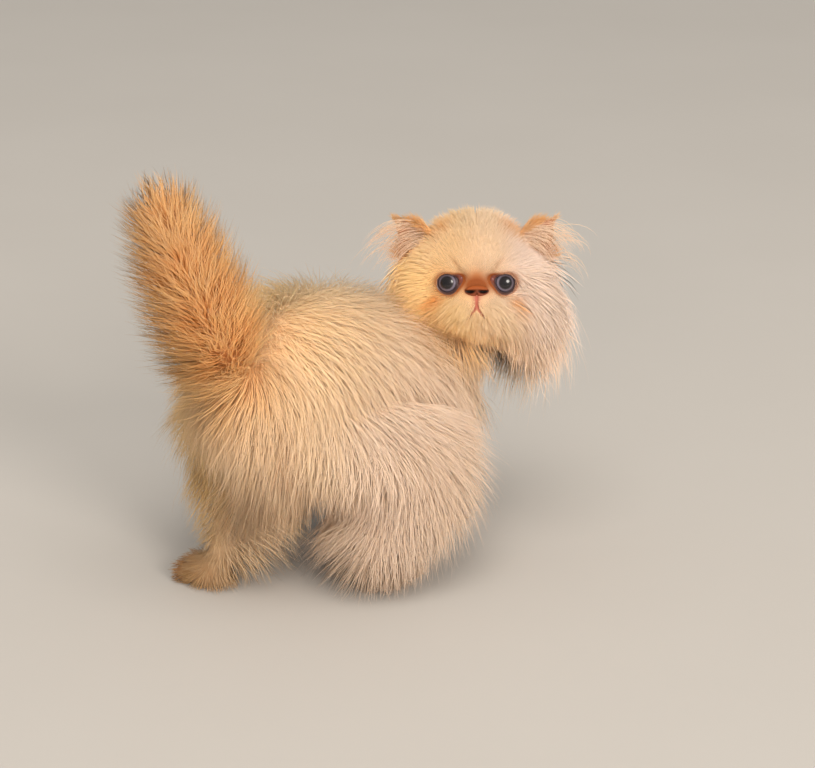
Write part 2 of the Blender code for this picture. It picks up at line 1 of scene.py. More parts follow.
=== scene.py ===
"""The looks of a Persian kitten at life size: its skin, long coat, eyes, nose, lids, and the light around it.

Every shape is worked out in the part's own tables, in millimetres, with the body facing -Y, +X its left and
+Z up, and is put into the frame, in metres, when its mesh is made.
"""

import math

import bmesh
import bpy
import numpy as np
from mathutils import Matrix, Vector


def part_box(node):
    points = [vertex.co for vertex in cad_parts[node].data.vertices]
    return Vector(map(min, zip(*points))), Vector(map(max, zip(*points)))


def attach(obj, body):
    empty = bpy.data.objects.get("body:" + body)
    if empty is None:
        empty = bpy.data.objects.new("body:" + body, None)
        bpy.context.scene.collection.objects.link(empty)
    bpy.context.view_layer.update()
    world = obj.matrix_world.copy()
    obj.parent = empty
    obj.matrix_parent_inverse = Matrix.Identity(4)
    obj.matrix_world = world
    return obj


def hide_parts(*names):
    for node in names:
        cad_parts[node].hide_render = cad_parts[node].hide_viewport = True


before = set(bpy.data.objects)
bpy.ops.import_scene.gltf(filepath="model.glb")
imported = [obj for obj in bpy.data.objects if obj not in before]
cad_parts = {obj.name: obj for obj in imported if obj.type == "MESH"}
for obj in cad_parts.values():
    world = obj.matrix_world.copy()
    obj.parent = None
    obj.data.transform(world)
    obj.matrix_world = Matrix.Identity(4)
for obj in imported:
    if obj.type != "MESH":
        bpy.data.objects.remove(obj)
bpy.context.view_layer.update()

MM = 0.001
SIDE, BACK, UP = np.eye(3)  # the animal's left, towards its tail, and up

# A limb is a row of sections: x, y, z of its middle, then the skin's half width sideways and half depth.
TORSO = [
    (0, 34, 108, 18, 20),
    (0, 18, 106, 33, 33),
    (0, -6, 102, 40, 38),
    (-4, -32, 94, 41, 38),
    (-12, -57, 84, 40, 36),
    (-21, -78, 77, 35, 33),
    (-28, -93, 76, 26, 27),
]
NECK = [(-27, -88, 94, 25, 24), (-37, -102, 112, 23, 23), (-44, -108, 132, 22, 22)]
TAIL = [
    (0, 36, 112, 9, 9),
    (3, 48, 124, 7.5, 7.5),
    (9, 57, 146, 6.5, 6.5),
    (20, 62, 175, 5.5, 5.5),
    (32, 63, 203, 4, 4),
]
RIGHT_HIND = [
    (-20, 2, 98, 21, 30),
    (-41, -15, 80, 26, 33),
    (-52, -24, 62, 25, 30),
    (-58, -21, 45, 21, 27),
    (-58, -4, 30, 15, 19),
    (-56, 5, 18, 9, 11),
    (-55, 4, 11, 8, 8),
]
LEFT_HIND = [
    (17, 4, 98, 20, 30),
    (29, -8, 80, 21, 30),
    (33, -14, 62, 19, 26),
    (29, 4, 44, 14, 18),
    (20, 26, 29, 9.5, 11),
    (19, 35, 18, 8, 9),
    (20, 37, 11, 7.5, 8),
]
RIGHT_FORE = [(-38, -80, 78, 14, 19), (-45, -72, 54, 12, 15), (-43, -80, 34, 9, 10), (-43, -82, 14, 8, 8)]
LEFT_FORE = [(-8, -86, 78, 14, 19), (-2, -79, 54, 12, 15), (-5, -87, 34, 9, 10), (-6, -90, 14, 8, 8)]
# Each limb's sections, and whether they lie level, as those of the legs do.
LIMBS = {
    "torso": (TORSO, False),
    "neck": (NECK, False),
    "tail": (TAIL, False),
    "right_hind_leg": (RIGHT_HIND, True),
    "left_hind_leg": (LEFT_HIND, True),
    "right_fore_leg": (RIGHT_FORE, True),
    "left_fore_leg": (LEFT_FORE, True),
}
# A paw: the middle of its sole, and the way that it points, in degrees to the left of straight ahead.
PAWS = {
    "right_hind_paw": ((-55, -6), -6),
    "left_hind_paw": ((27, 40), 80),
    "right_fore_paw": ((-43, -86), -4),
    "left_fore_paw": ((-6, -94), 4),
}
PAW_WIDTH, PAW_LENGTH, PAW_HEIGHT = 21.0, 29.0, 15.0

# The head's own axes: to its left, to its front and up.
HEAD_AT = np.array((-61.0, -92.0, 144.0))
HEAD_TURN, HEAD_LIFT = 152.0, 10.0
SKULL = np.array((32.5, 30.0, 30.5))
FACE = [
    (0, 20, 20, 2.5, 10),
    (13, 24, 8, 1.0, 5),
    (0, 28, 0, -2.4, 4.5),
    (7, 24, -14, 6.0, 5.2),
    (0, 27, -6, 1.6, 3.5),
    (0, 18, -22, 5.0, 5.0),
    (25, 10, -12, 4.5, 10),
]  # swellings and dents: left, front, up, height and spread, those off the middle line on both sides
EYE_AT, EYE_RADIUS, LID = np.array((14.3, 17.6, -3.2)), 9.0, 1.2
EYE_OPENS = np.array((15.2, -2.75))  # middle of the opening between the lids: left and up
EYE_CORNER = math.radians(158)  # the way from there to the corner by the nose
NOSE_HIGH = -6.0
MOUTH = [(0.0, -9.2), (0.0, -13.3), (2.4, -16.4), (4.8, -19.2), (8.0, -20.8)]
EAR_ROOT, EAR_TIP = np.array((27.0, -1.0, 13.0)), np.array((43.5, 3.0, 33.0))
EAR_OPENS = np.array((0.45, 1.0, -0.1))
EAR_WIDTH, EAR_CUP, EAR_WALL = 27.0, 7.0, 2.2
EAR_INSIDE = 0.2  # the skin of the cup is further in front of the leaf than this

VOXEL = 1.15  # size of the cells that the skin's limbs are merged in
CAMERA_AT = np.array((-664.9, 1120.5, 573.9))
CAMERA_TO = np.array((-69.5, 0.0, 112.2))
CAMERA_LENS = 119.26

# Places that several fields read, each as the middle and the spread of a bell. All but the breech are on the
# head, in its own axes.
BREECH = (-14, 14, 66), (18, 22, 20)  # long hair below the tail, between the thighs
TROUGH = (8.2, 27.5, 0.6), (2.6, 5.0, 2.3)  # the hollow between the nose and the eye's inner corner
CREASE = (10.6, 28, 7.4), (3.0, 6, 3.4)  # the fold that rises from that hollow to the brow
CHIN = (0, 22, -24), (5, 8, 4)
FACE_FROM = 8  # the marks of the face are further to the front than this
FACE_ANGLE = 64  # the finer part of the skin, in degrees from straight ahead


# Small sums that every shape uses.


def unit(v):
    """Vectors of length one."""
    v = np.asarray(v, float)
    return v / np.maximum(np.linalg.norm(v, axis=-1, keepdims=True), 1e-9)


def smooth_step(low, high, value):
    """Rises smoothly from 0 at low to 1 at high."""
    t = np.clip((value - low) / (high - low), 0.0, 1.0)
    return t * t * (3 - 2 * t)


def bell(away, width):
    """1 at 0, falling off to both sides as e to the power of minus half of (away / width) squared."""
    return np.exp(-0.5 * (away / width) ** 2)


def near(points, middle, spread):
    """1 at middle, falling off as a bell whose width is spread along each axis."""
    away = (points - np.asarray(middle, float)) / np.asarray(spread, float)
    return np.exp(-0.5 * (away**2).sum(-1))


def turns(count):
    """Even turns round a circle."""
    return np.linspace(0, 2 * math.pi, count, endpoint=False)


def smooth_rows(rows, count):
    """Rows read from a smooth Catmull-Rom curve through the given ones."""
    rows = np.array(rows, float)
    t = np.linspace(0, len(rows) - 1, count)
    i = np.clip(t.astype(int), 0, len(rows) - 2)
    f = (t - i)[:, None]
    before, here, after, beyond = (rows[np.clip(i + k, 0, len(rows) - 1)] for k in (-1, 0, 1, 2))
    bend = 2 * before - 5 * here + 4 * after - beyond
    twist = 3 * here - before - 3 * after + beyond
    return 0.5 * (2 * here + (after - before) * f + bend * f**2 + twist * f**3)


def section_axes(middles, level):
    """Along, sideways and across directions at each section. Level sections lie flat."""
    along = unit(np.gradient(middles, axis=0))
    facing = np.tile(-UP, (len(middles), 1)) if level else along
    sideways = unit(SIDE - facing * (facing @ SIDE)[:, None])
    return along, sideways, np.cross(sideways, facing)


def head_axes():
    """The head's left, front and up."""
    turn, lift = math.radians(-90 - HEAD_TURN), math.radians(HEAD_LIFT)
    front = np.array((math.cos(turn) * math.cos(lift), math.sin(turn) * math.cos(lift), math.sin(lift)))
    left = unit(np.cross(UP, front))
    return np.array((left, front, np.cross(front, left)))


HEAD_AXES = head_axes()


def on_head(points):
    """World places of points given to the head's left, front and up."""
    return HEAD_AT + np.asarray(points, float) @ HEAD_AXES


def in_head(points):
    """How far points are to the head's left, front and up."""
    return (points - HEAD_AT) @ HEAD_AXES.T


def front_angle(local):
    """Angle from straight ahead of the face, in radians."""
    return np.arccos(np.clip(local[:, 1] / np.linalg.norm(local, axis=-1), -1, 1))


def mirrored(points, side):
    """The head's points as they are for the left side, or mirrored for the right."""
    return np.asarray(points, float) * ((1 if side == "left" else -1), 1, 1)


def frame_shift():
    """How far the frame's origin is from the tables' origin, found from where the eyes are."""
    boxes = [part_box(side + "_eye") for side in ("left", "right")]
    middles = [np.mean([np.array(corner) for corner in box], axis=0) / MM for box in boxes]
    return np.mean(middles, axis=0) - on_head((mirrored(EYE_AT, "left") + mirrored(EYE_AT, "right")) / 2)


SHIFT = frame_shift()


# Meshes from arrays.


def band_faces(rings, sides, closed=False):
    """Triangles between neighbouring rings, two to a cell. Closed also joins the last ring to the first."""
    i, j = np.meshgrid(np.arange(rings if closed else rings - 1), np.arange(sides), indexing="ij")
    k, m = (j + 1) % sides, (i + 1) % rings
    a, b, c, d = i * sides + j, i * sides + k, m * sides + k, m * sides + j
    return np.concatenate([np.stack(corners, -1).reshape(-1, 3) for corners in ((a, b, c), (a, c, d))])


def ring_faces(rings, sides):
    """Triangles of a stack of closed rings with a pole at each end."""
    j = np.arange(sides)
    k = (j + 1) % sides
    last = (rings - 1) * sides
    first_cap = np.stack([k, j, np.full(sides, rings * sides)], -1)
    last_cap = np.stack([last + j, last + k, np.full(sides, rings * sides + 1)], -1)
    return np.concatenate([band_faces(rings, sides), first_cap, last_cap])


def facing_out(points, faces):
    """Turns a closed mesh's faces round if its volume comes out negative."""
    a, b, c = points[faces[:, 0]], points[faces[:, 1]], points[faces[:, 2]]
    return faces[:, ::-1] if (a * np.cross(b, c)).sum() < 0 else faces


def capped(rings, first, last):
    """A stack of rings with a pole beyond each end."""
    rings = np.asarray(rings, float)
    points = np.concatenate([rings.reshape(-1, 3), [first], [last]])
    return points, facing_out(points, ring_faces(len(rings), rings.shape[1]))


def joined(meshes):
    """Several meshes as one set of arrays."""
    starts = np.cumsum([0] + [len(points) for points, _ in meshes[:-1]])
    return (
        np.concatenate([points for points, _ in meshes]),
        np.concatenate([faces + start for (_, faces), start in zip(meshes, starts)]),
    )


def make_mesh(name, points, faces):
    """A smooth-shaded triangle mesh in the frame's metres."""
    data = bpy.data.meshes.new(name)
    data.vertices.add(len(points))
    data.vertices.foreach_set("co", ((points + SHIFT) * MM).astype(np.float32).ravel())
    data.loops.add(faces.size)
    data.loops.foreach_set("vertex_index", faces.astype(np.int32).ravel())
    data.polygons.add(len(faces))
    data.polygons.foreach_set("loop_start", np.arange(len(faces), dtype=np.int32) * 3)
    data.update(calc_edges=True)
    data.polygons.foreach_set("use_smooth", np.ones(len(faces), bool))
    return data


def new_object(name, data):
    """An object in the scene, at the origin."""
    obj = bpy.data.objects.new(name, data)
    bpy.context.scene.collection.objects.link(obj)
    return obj


def make_piece(name, points, faces, material, replaced=()):
    """A piece of the model, with its material and the nodes that it replaces."""
    data = make_mesh(name, points, faces)
    data.materials.append(material)
    obj = new_object(name, data)
    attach(obj, "root")
    if replaced:
        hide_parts(*replaced)
    return obj


def write_colour(data, name, values):
    """Stores four numbers for each vertex, for the materials to read."""
    layer = data.attributes.new(name, "FLOAT_COLOR", "POINT")
    layer.data.foreach_set("color", np.asarray(values, np.float32).ravel())


def round_ways(tilt, turn):
    """Ways at a tilt from the third axis and a turn round it."""
    return np.stack([np.sin(tilt) * np.cos(turn), np.sin(tilt) * np.sin(turn), np.cos(tilt) + 0 * turn], -1)


def ball(middle, radii, axes=np.eye(3), around=32, rows=20):
    """An ellipsoid: rings at even tilts from its third axis."""
    local = round_ways(np.linspace(0, math.pi, rows + 1)[1:-1, None], turns(around)[None])
    rings = np.asarray(middle) + (local * np.asarray(radii)) @ axes
    poles = [np.asarray(middle) + (np.array((0, 0, s)) * np.asarray(radii)) @ axes for s in (1.0, -1.0)]
    return capped(rings, *poles)


# The skin.


DOME_TILTS, DOME_HEIGHT = (80, 62, 44, 26, 10), 0.8  # rings of the domes, in degrees, and height in radii


def limb_skin(rows, level, stations=60, sides=48):
    """A limb: a ring is middle + sideways * half width * cos + across * half depth * sin, with domed ends."""
    rows = smooth_rows(rows, stations)
    along, sideways, across = section_axes(rows[:, :3], level)
    lean = np.radians(DOME_TILTS)
    index = np.concatenate([np.zeros(len(lean), int), np.arange(stations), np.full(len(lean), stations - 1)])
    scale = np.concatenate([np.cos(lean), np.ones(stations), np.cos(lean[::-1])])
    dome = rows[:, 3:5].mean(1) * DOME_HEIGHT
    shift = np.concatenate([-np.sin(lean) * dome[0], np.zeros(stations), np.sin(lean[::-1]) * dome[-1]])
    turn = turns(sides)[None, :, None]
    middle = rows[index, :3] + along[index] * shift[:, None]
    wide = sideways[index] * (rows[index, 3] * scale)[:, None]
    deep = across[index] * (rows[index, 4] * scale)[:, None]
    rings = middle[:, None] + wide[:, None] * np.cos(turn) + deep[:, None] * np.sin(turn)
    return capped(rings, rows[0, :3] - along[0] * dome[0], rows[-1, :3] + along[-1] * dome[-1])


def paw_axes(name):
    """A paw's place on the floor, and its own left and ahead."""
    (x, y), heading = PAWS[name]
    turn = math.radians(heading)
    ahead = np.array((math.sin(turn), -math.cos(turn), 0.0))
    left = np.array((math.cos(turn), math.sin(turn), 0.0))
    return np.array((x, y, 0.0)), left, ahead


def paw_skin(name):
    """A rounded foot with four toes, pressed flat on the floor."""
    sole, left, ahead = paw_axes(name)
    axes = np.array((left, ahead, UP))
    made = [ball(sole + UP * PAW_HEIGHT * 0.42, (PAW_WIDTH / 2, PAW_LENGTH / 2, PAW_HEIGHT * 0.58), axes)]
    for place in (-1.5, -0.5, 0.5, 1.5):
        forward = PAW_LENGTH * (0.36 - 0.05 * abs(place) ** 1.5)
        middle = sole + UP * PAW_HEIGHT * 0.33 + left * place * PAW_WIDTH * 0.25 + ahead * forward
        made.append(ball(middle, (PAW_WIDTH * 0.15, PAW_LENGTH * 0.2, PAW_HEIGHT * 0.40), axes, 20, 14))
    for points, _ in made:
        points[:, 2] = np.maximum(points[:, 2], 0.0)
    return made


def head_radius(ways):
    """An ellipsoid's reach in each direction, with bells added where the face swells or dips."""
    reach = 1 / np.sqrt(((ways / SKULL) ** 2).sum(-1))
    for left, front, up, height, spread in FACE:
        for middle in {(left, front, up), (-left, front, up)}:
            far = np.linalg.norm(middle)
            off = far * np.sqrt(np.maximum(2 - 2 * ways @ (np.array(middle) / far), 0))
            reach = reach + height * np.exp(-(off**2) / (2 * spread**2))
    return reach


def eye_edge(turn):
    """How far the lids' edge is from the opening's middle: round, with a point towards the nose.

    That is 5.45 - 0.35 * sin^2 above the middle + 2.9 * cos^9 of the turn from the corner.
    """
    corner = np.maximum(np.cos(turn - EYE_CORNER), 0.0)
    return 5.45 - 0.35 * np.maximum(np.sin(turn), 0.0) ** 2 + 2.9 * corner**9


def eye_inward(left, up):
    """How far inside the opening's edge a place of the face is, and its turn round the opening's middle."""
    off = np.hypot(np.abs(left) - EYE_OPENS[0], up - EYE_OPENS[1])
    turn = np.arctan2(up - EYE_OPENS[1], np.abs(left) - EYE_OPENS[0])
    return eye_edge(turn) - off, turn


def ball_reach(ways, middle, radius):
    """Where a ray from the head's middle leaves a ball, or 0 where it misses."""
    ahead = ways @ middle
    inside = ahead**2 - (middle @ middle) + radius**2
    return np.where(inside > 0, ahead + np.sqrt(np.maximum(inside, 0)), 0.0)


def mouth_distance(left, up):
    """Distance from the line of the mouth in the face's plane, taken on one side."""
    here = np.stack([np.abs(left), up], -1)
    line = smooth_rows(MOUTH, 25)
    a, b = line[:-1], line[1:]
    share = np.clip(((here[..., None, :] - a) * (b - a)).sum(-1) / ((b - a) ** 2).sum(-1), 0, 1)
    return np.linalg.norm(here[..., None, :] - (a + share[..., None] * (b - a)), axis=-1).min(-1)


def crease_distance(left, up):
    """Distance from the slanting line of the crease above the eye's inner corner."""
    return np.abs((left - 8.2) * 0.80 - (up - 4.0) * 0.60)


def brow_radius(ways):
    """The face before it opens: the skull, with lids domed over the eyeballs and hollows by the nose."""
    ways = np.stack([np.abs(ways[..., 0]), ways[..., 1], ways[..., 2]], -1)
    reach = head_radius(ways)
    lid = ball_reach(ways, EYE_AT, EYE_RADIUS + LID)
    more = np.clip(0.5 + (lid - reach) / 2.4, 0, 1)
    reach = reach + (lid - reach) * more + 0.6 * more * (1 - more)
    place = ways * reach[..., None]
    reach = reach - 3.4 * near(place, *TROUGH)
    crease = crease_distance(place[..., 0], place[..., 2])
    reach = reach - 0.9 * bell(crease, 0.8) * near(place, *CREASE)
    return reach - 1.6 * near(place, (0, 30, NOSE_HIGH), (4.4, 5.0, 2.4))


def face_front(left, up):
    """How far to the front the face's skin is at this place, by steps along the front axis."""
    front = np.full(np.broadcast(left, up).shape, 28.0)
    for _ in range(14):
        place = np.stack([left + 0 * front, front, up + 0 * front], -1)
        far = np.linalg.norm(place, axis=-1)
        front = front + (brow_radius(place / far[..., None]) - far) * 0.9
    return front


def face_places(ways):
    """The face's skin: the brow's surface, set back where the eyes show and pressed in along the mouth.

    A fold runs 2.6 mm outside each opening's upper edge, and the lips roll 1.3 mm off the line of the mouth.
    """
    place = ways * brow_radius(ways)[:, None]
    inward, turn = eye_inward(place[:, 0], place[:, 2])
    front = place[:, 1] > FACE_FROM
    fold = bell(inward + 2.6, 0.6) * np.maximum(np.sin(turn + 0.3), 0) * front
    gap = mouth_distance(place[:, 0], place[:, 2])
    lips = 0.9 * bell(gap, 0.5) - 0.35 * bell(gap - 1.3, 0.5)
    place = place - ways * (0.4 * fold + lips * smooth_step(12, 18, place[:, 1]))[:, None]
    off = np.hypot(np.abs(place[:, 0]) - EYE_AT[0], place[:, 2] - EYE_AT[2])
    floor = EYE_AT[1] + np.sqrt(np.maximum((EYE_RADIUS - 1.2) ** 2 - off**2, 1.0))
    open_eye = smooth_step(-0.25, 0.35, inward) * front
    place[:, 1] = place[:, 1] + (np.minimum(floor, place[:, 1]) - place[:, 1]) * open_eye
    return place


def skull_skin():
    """The skull as rings round its front axis."""
    tilt = np.radians(np.linspace(3, 177, 50))[:, None]
    ways = round_ways(tilt, turns(72)[None])[..., (0, 2, 1)]
    rings = on_head(ways * head_radius(ways)[..., None])
    front, back = (np.array(((0, s, 0),), float) for s in (1, -1))
    return capped(rings, on_head(front * head_radius(front))[0], on_head(back * head_radius(back))[0])


def ear_frame():
    """The ear's own directions on the left side: up its height, out of its opening, and across."""
    rise = EAR_TIP - EAR_ROOT
    tall = unit(rise)
    opens = unit(EAR_OPENS - tall * np.dot(EAR_OPENS, tall))
    return rise, tall, opens, np.cross(tall, opens)


def ear_sheet(up, across, lift=0.0):
    """A cupped leaf: its half width goes as (1 - up^1.6)^0.8, and it curls forward with across squared."""
    rise, _, opens, sideways = ear_frame()
    high = np.maximum(up, 0)
    half = EAR_WIDTH / 2 * np.maximum(1 - high**1.6, 0.004) ** 0.8
    deep = EAR_CUP * across**2 * (1 - 0.55 * high) + lift
    return EAR_ROOT + rise * up[..., None] + sideways * (half * across)[..., None] + opens * deep[..., None]


def ear_skin(side):
    """Front and back of the leaf a wall apart, closed round its edge by a rounded rim."""
    up = np.linspace(-0.22, 0.99, 34)[:, None]
    ring = turns(56)[None]
    across = np.sign(np.cos(ring)) * np.abs(np.cos(ring)) ** 0.6
    lift = EAR_WALL / 2 * np.sign(np.sin(ring)) * np.abs(np.sin(ring)) ** 0.5
    grid = ear_sheet(up + 0 * ring, across + 0 * up, lift + 0 * up)
    grid = on_head(mirrored(grid, side))
    return capped(grid, grid[0].mean(0), grid[-1].mean(0))


def mesh_arrays(data):
    """Points in table millimetres, normals and triangles of a mesh."""
    points = np.empty(len(data.vertices) * 3, np.float32)
    data.vertices.foreach_get("co", points)
    points = points.reshape(-1, 3).astype(float) / MM - SHIFT
    normals = np.empty(len(data.vertices) * 3, np.float32)
    data.vertices.foreach_get("normal", normals)
    data.calc_loop_triangles()
    faces = np.empty(len(data.loop_triangles) * 3, np.int32)
    data.loop_triangles.foreach_get("vertices", faces)
    return points, normals.reshape(-1, 3).astype(float), faces.reshape(-1, 3)


def relaxed(points, faces, rounds, share):
    """Each round moves a point by a share of the way to the mean of its neighbours."""
    pairs = np.concatenate([faces[:, (0, 1)], faces[:, (1, 2)], faces[:, (2, 0)]])
    pairs = np.concatenate([pairs, pairs[:, ::-1]])
    count = np.bincount(pairs[:, 0], minlength=len(points))[:, None]
    for _ in range(rounds):
        near_by = points[pairs[:, 1]]
        total = np.stack([np.bincount(pairs[:, 0], near_by[:, k], len(points)) for k in range(3)], -1)
        points = points + (total / np.maximum(count, 1) - points) * share
    return points


def build_skin():
    """Merges limbs, paws, skull and ears, smooths the trunk, then refines the face and shapes it exactly.

    The trunk is what is clear of the skull, off the floor and below the tail. It takes the most smoothing.
    """
    meshes = [limb_skin(rows, level) for rows, level in LIMBS.values()]
    for name in PAWS:
        meshes += paw_skin(name)
    meshes.append(skull_skin())
    lids = [EYE_RADIUS + LID] * 3
    meshes += [ball(on_head(mirrored(EYE_AT, side)), lids) for side in ("left", "right")]
    meshes += [ear_skin(side) for side in ("left", "right")]
    rough = new_object("rough_skin", make_mesh("rough_skin", *joined(meshes)))
    merge = rough.modifiers.new("merge", "REMESH")
    merge.mode, merge.voxel_size = "VOXEL", VOXEL * MM
    data = bpy.data.meshes.new_from_object(rough.evaluated_get(bpy.context.evaluated_depsgraph_get()))
    bpy.data.objects.remove(rough)
    points, _, faces = mesh_arrays(data)
    local = in_head(points)
    off_skull, high = np.linalg.norm(local, axis=-1) - 36, points[:, 2]
    tail = smooth_step(118, 136, high) * smooth_step(10, 30, points[:, 1])
    trunk = smooth_step(3, 12, off_skull) * smooth_step(16, 40, high) * (1 - tail)
    smooth = relaxed(points, faces, 90, 0.6)
    points = relaxed(points, faces, 3, 0.5)
    points = points + (smooth - points) * trunk[:, None]
    data.vertices.foreach_set("co", ((points + SHIFT) * MM).astype(np.float32).ravel())

    mesh = bmesh.new()
    mesh.from_mesh(data)
    mesh.verts.ensure_lookup_table()
    local = in_head(points)
    near_skull = np.abs(np.linalg.norm(local, axis=-1) - head_radius(unit(local))) < 4
    face = (np.degrees(front_angle(local)) < FACE_ANGLE) & near_skull
    edges = [e for e in mesh.edges if face[e.verts[0].index] and face[e.verts[1].index]]
    bmesh.ops.subdivide_edges(mesh, edges=edges, cuts=2, use_grid_fill=True)
    mesh.to_mesh(data)
    mesh.free()
    points, _, faces = mesh_arrays(data)
    local = in_head(points)
    far = np.linalg.norm(local, axis=-1)
    ways = local / far[:, None]
    near_skull = np.abs(far - head_radius(ways)) < 4.5
    edge = smooth_step(FACE_ANGLE - 10, FACE_ANGLE - 1, np.degrees(front_angle(local)))
    hold = ((1 - edge) * near_skull)[:, None]
    local = local + (face_places(ways) - local) * hold
    points = np.where(hold > 0, on_head(local), points)
    points[:, 2] = np.maximum(points[:, 2], 0.0)
    fresh = make_mesh("skin", points, faces)
    bpy.data.meshes.remove(data)
    return fresh


# Where each point of the skin is: which limb it belongs to, and how the hair there lies.


def batches(count, most):
    """Row numbers in batches of at most so many, to keep the tables of distances small."""
    return np.array_split(np.arange(count), count // most + 1)


class Limb:
    """Sections of a limb, to look up where along and round it a point is."""

    def __init__(self, rows, level):
        rows = smooth_rows(rows, 48)
        self.middles, self.radii = rows[:, :3], rows[:, 3:5]
        self.along, self.sideways, self.across = section_axes(self.middles, level)

    def locate(self, points):
        """The section that is the fewest radii away: its share of the length, the turn and the skin's gap."""
        share, turn, gap = np.empty((3, len(points)))
        wide, deep = self.radii.T
        for part in batches(len(points), 6000):
            away = (points[part, None] - self.middles).astype(np.float32)
            u = np.einsum("nkc,kc->nk", away, self.sideways.astype(np.float32)) / wide
            v = np.einsum("nkc,kc->nk", away, self.across.astype(np.float32)) / deep
            w = np.sqrt(np.maximum((away**2).sum(-1) - (u * wide) ** 2 - (v * deep) ** 2, 0))
            q = np.sqrt(u**2 + v**2 + (w / self.radii.mean(1)) ** 2)
            best = q.argmin(1)
            rows = np.arange(len(part))
            share[part] = best / (len(self.middles) - 1)
            turn[part] = np.arctan2(v[rows, best], u[rows, best])
            gap[part] = (q[rows, best] - 1) * self.radii.min(1)[best]
        return share, turn, gap

    def along_at(self, share):
        return self.along[np.round(share * (len(self.middles) - 1)).astype(int)]


LIMB_SHAPES = {name: Limb(rows, level) for name, (rows, level) in LIMBS.items()}
REGIONS = [*LIMBS, "head", "right_ear", "left_ear", *PAWS]


def ear_places(points, side):
    """For points near an ear: how far up, across and in front of its leaf they are, and the distance."""
    grid = np.meshgrid(np.linspace(-0.2, 1, 30), np.linspace(-1, 1, 21), indexing="ij")
    up, across = (g.ravel() for g in grid)
    leaf = ear_sheet(up, across)
    local = mirrored(in_head(points), side)
    opens = ear_frame()[2]
    place = np.empty((len(points), 4))
    for part in batches(len(points), 4000):
        away = local[part, None] - leaf
        best = (away**2).sum(-1).argmin(1)
        rows = np.arange(len(part))
        place[part, 0], place[part, 1] = up[best], across[best]
        place[part, 2] = away[rows, best] @ opens
        place[part, 3] = np.linalg.norm(away[rows, best], axis=-1)
    return place


def survey(points):
    """Looks every point up in every region. Gives shares, turns, gaps and soft weights.

    A region's weight falls off as e to the power of minus a third of how much further than the nearest it is.
    """
    found = dict(share={}, turn={}, gap=np.empty((len(points), len(REGIONS))))
    for name, limb in LIMB_SHAPES.items():
        share, turn, gap = limb.locate(points)
        found["share"][name], found["turn"][name] = share, turn
        found["gap"][:, REGIONS.index(name)] = gap
    local = in_head(points)
    far = np.linalg.norm(local, axis=-1)
    found["local"] = local
    found["gap"][:, REGIONS.index("head")] = far - head_radius(local / far[:, None])
    for side in ("right", "left"):
        found[side + "_ear"] = ear_places(points, side)
        gap = found[side + "_ear"][:, 3] - EAR_WALL / 2
        above = found[side + "_ear"][:, 0] > 0.06
        found["gap"][:, REGIONS.index(side + "_ear")] = np.where(above, gap, 40.0)
    for name in PAWS:
        sole, left, ahead = paw_axes(name)
        away = points - sole
        across, along = away @ left / (PAW_WIDTH / 2), away @ ahead / (PAW_LENGTH / 2)
        size = np.stack([across, along, (away[:, 2] - 5) / 9], -1)
        found["gap"][:, REGIONS.index(name)] = (np.linalg.norm(size, axis=-1) - 1) * 8
    gap = found["gap"]
    found["region"] = gap.argmin(1)
    weight = np.exp(-np.maximum(gap - gap.min(1, keepdims=True), 0) / 3.0)
    found["weight"] = weight / weight.sum(1, keepdims=True)
    return found


def weight_of(found, region):
    """How much each point belongs to a region, from 0 to 1."""
    return found["weight"][:, REGIONS.index(region)]


# The head's hair by its angle from straight ahead of the face, in degrees: how long it is low and high on the
# head, in millimetres, and how far it stands at its root and at its tip.
CHEEK_LENGTHS = (0, 18, 30, 42, 55, 70, 90, 120, 180), (3.0, 4.6, 7.5, 12, 19, 27, 31, 30, 26)
CROWN_LENGTHS = (0, 20, 40, 60, 80, 110, 150, 180), (2.6, 3.8, 5.4, 6.8, 8.5, 12, 16, 20)
HEAD_STAND = (0, 30, 60, 90, 180), (0.32, 0.38, 0.45, 0.52, 0.55)
HEAD_END = (0, 30, 60, 90, 180), (0.08, 0.12, 0.21, 0.28, 0.28)
NOSE_ROOT = np.array((0.0, 27.0, -5.0))  # the face's hair runs away from here
RUFF_DROP, CHIN_DROP = np.array((0.15, 0, -0.9)), np.array((0, 0.35, -1.0))


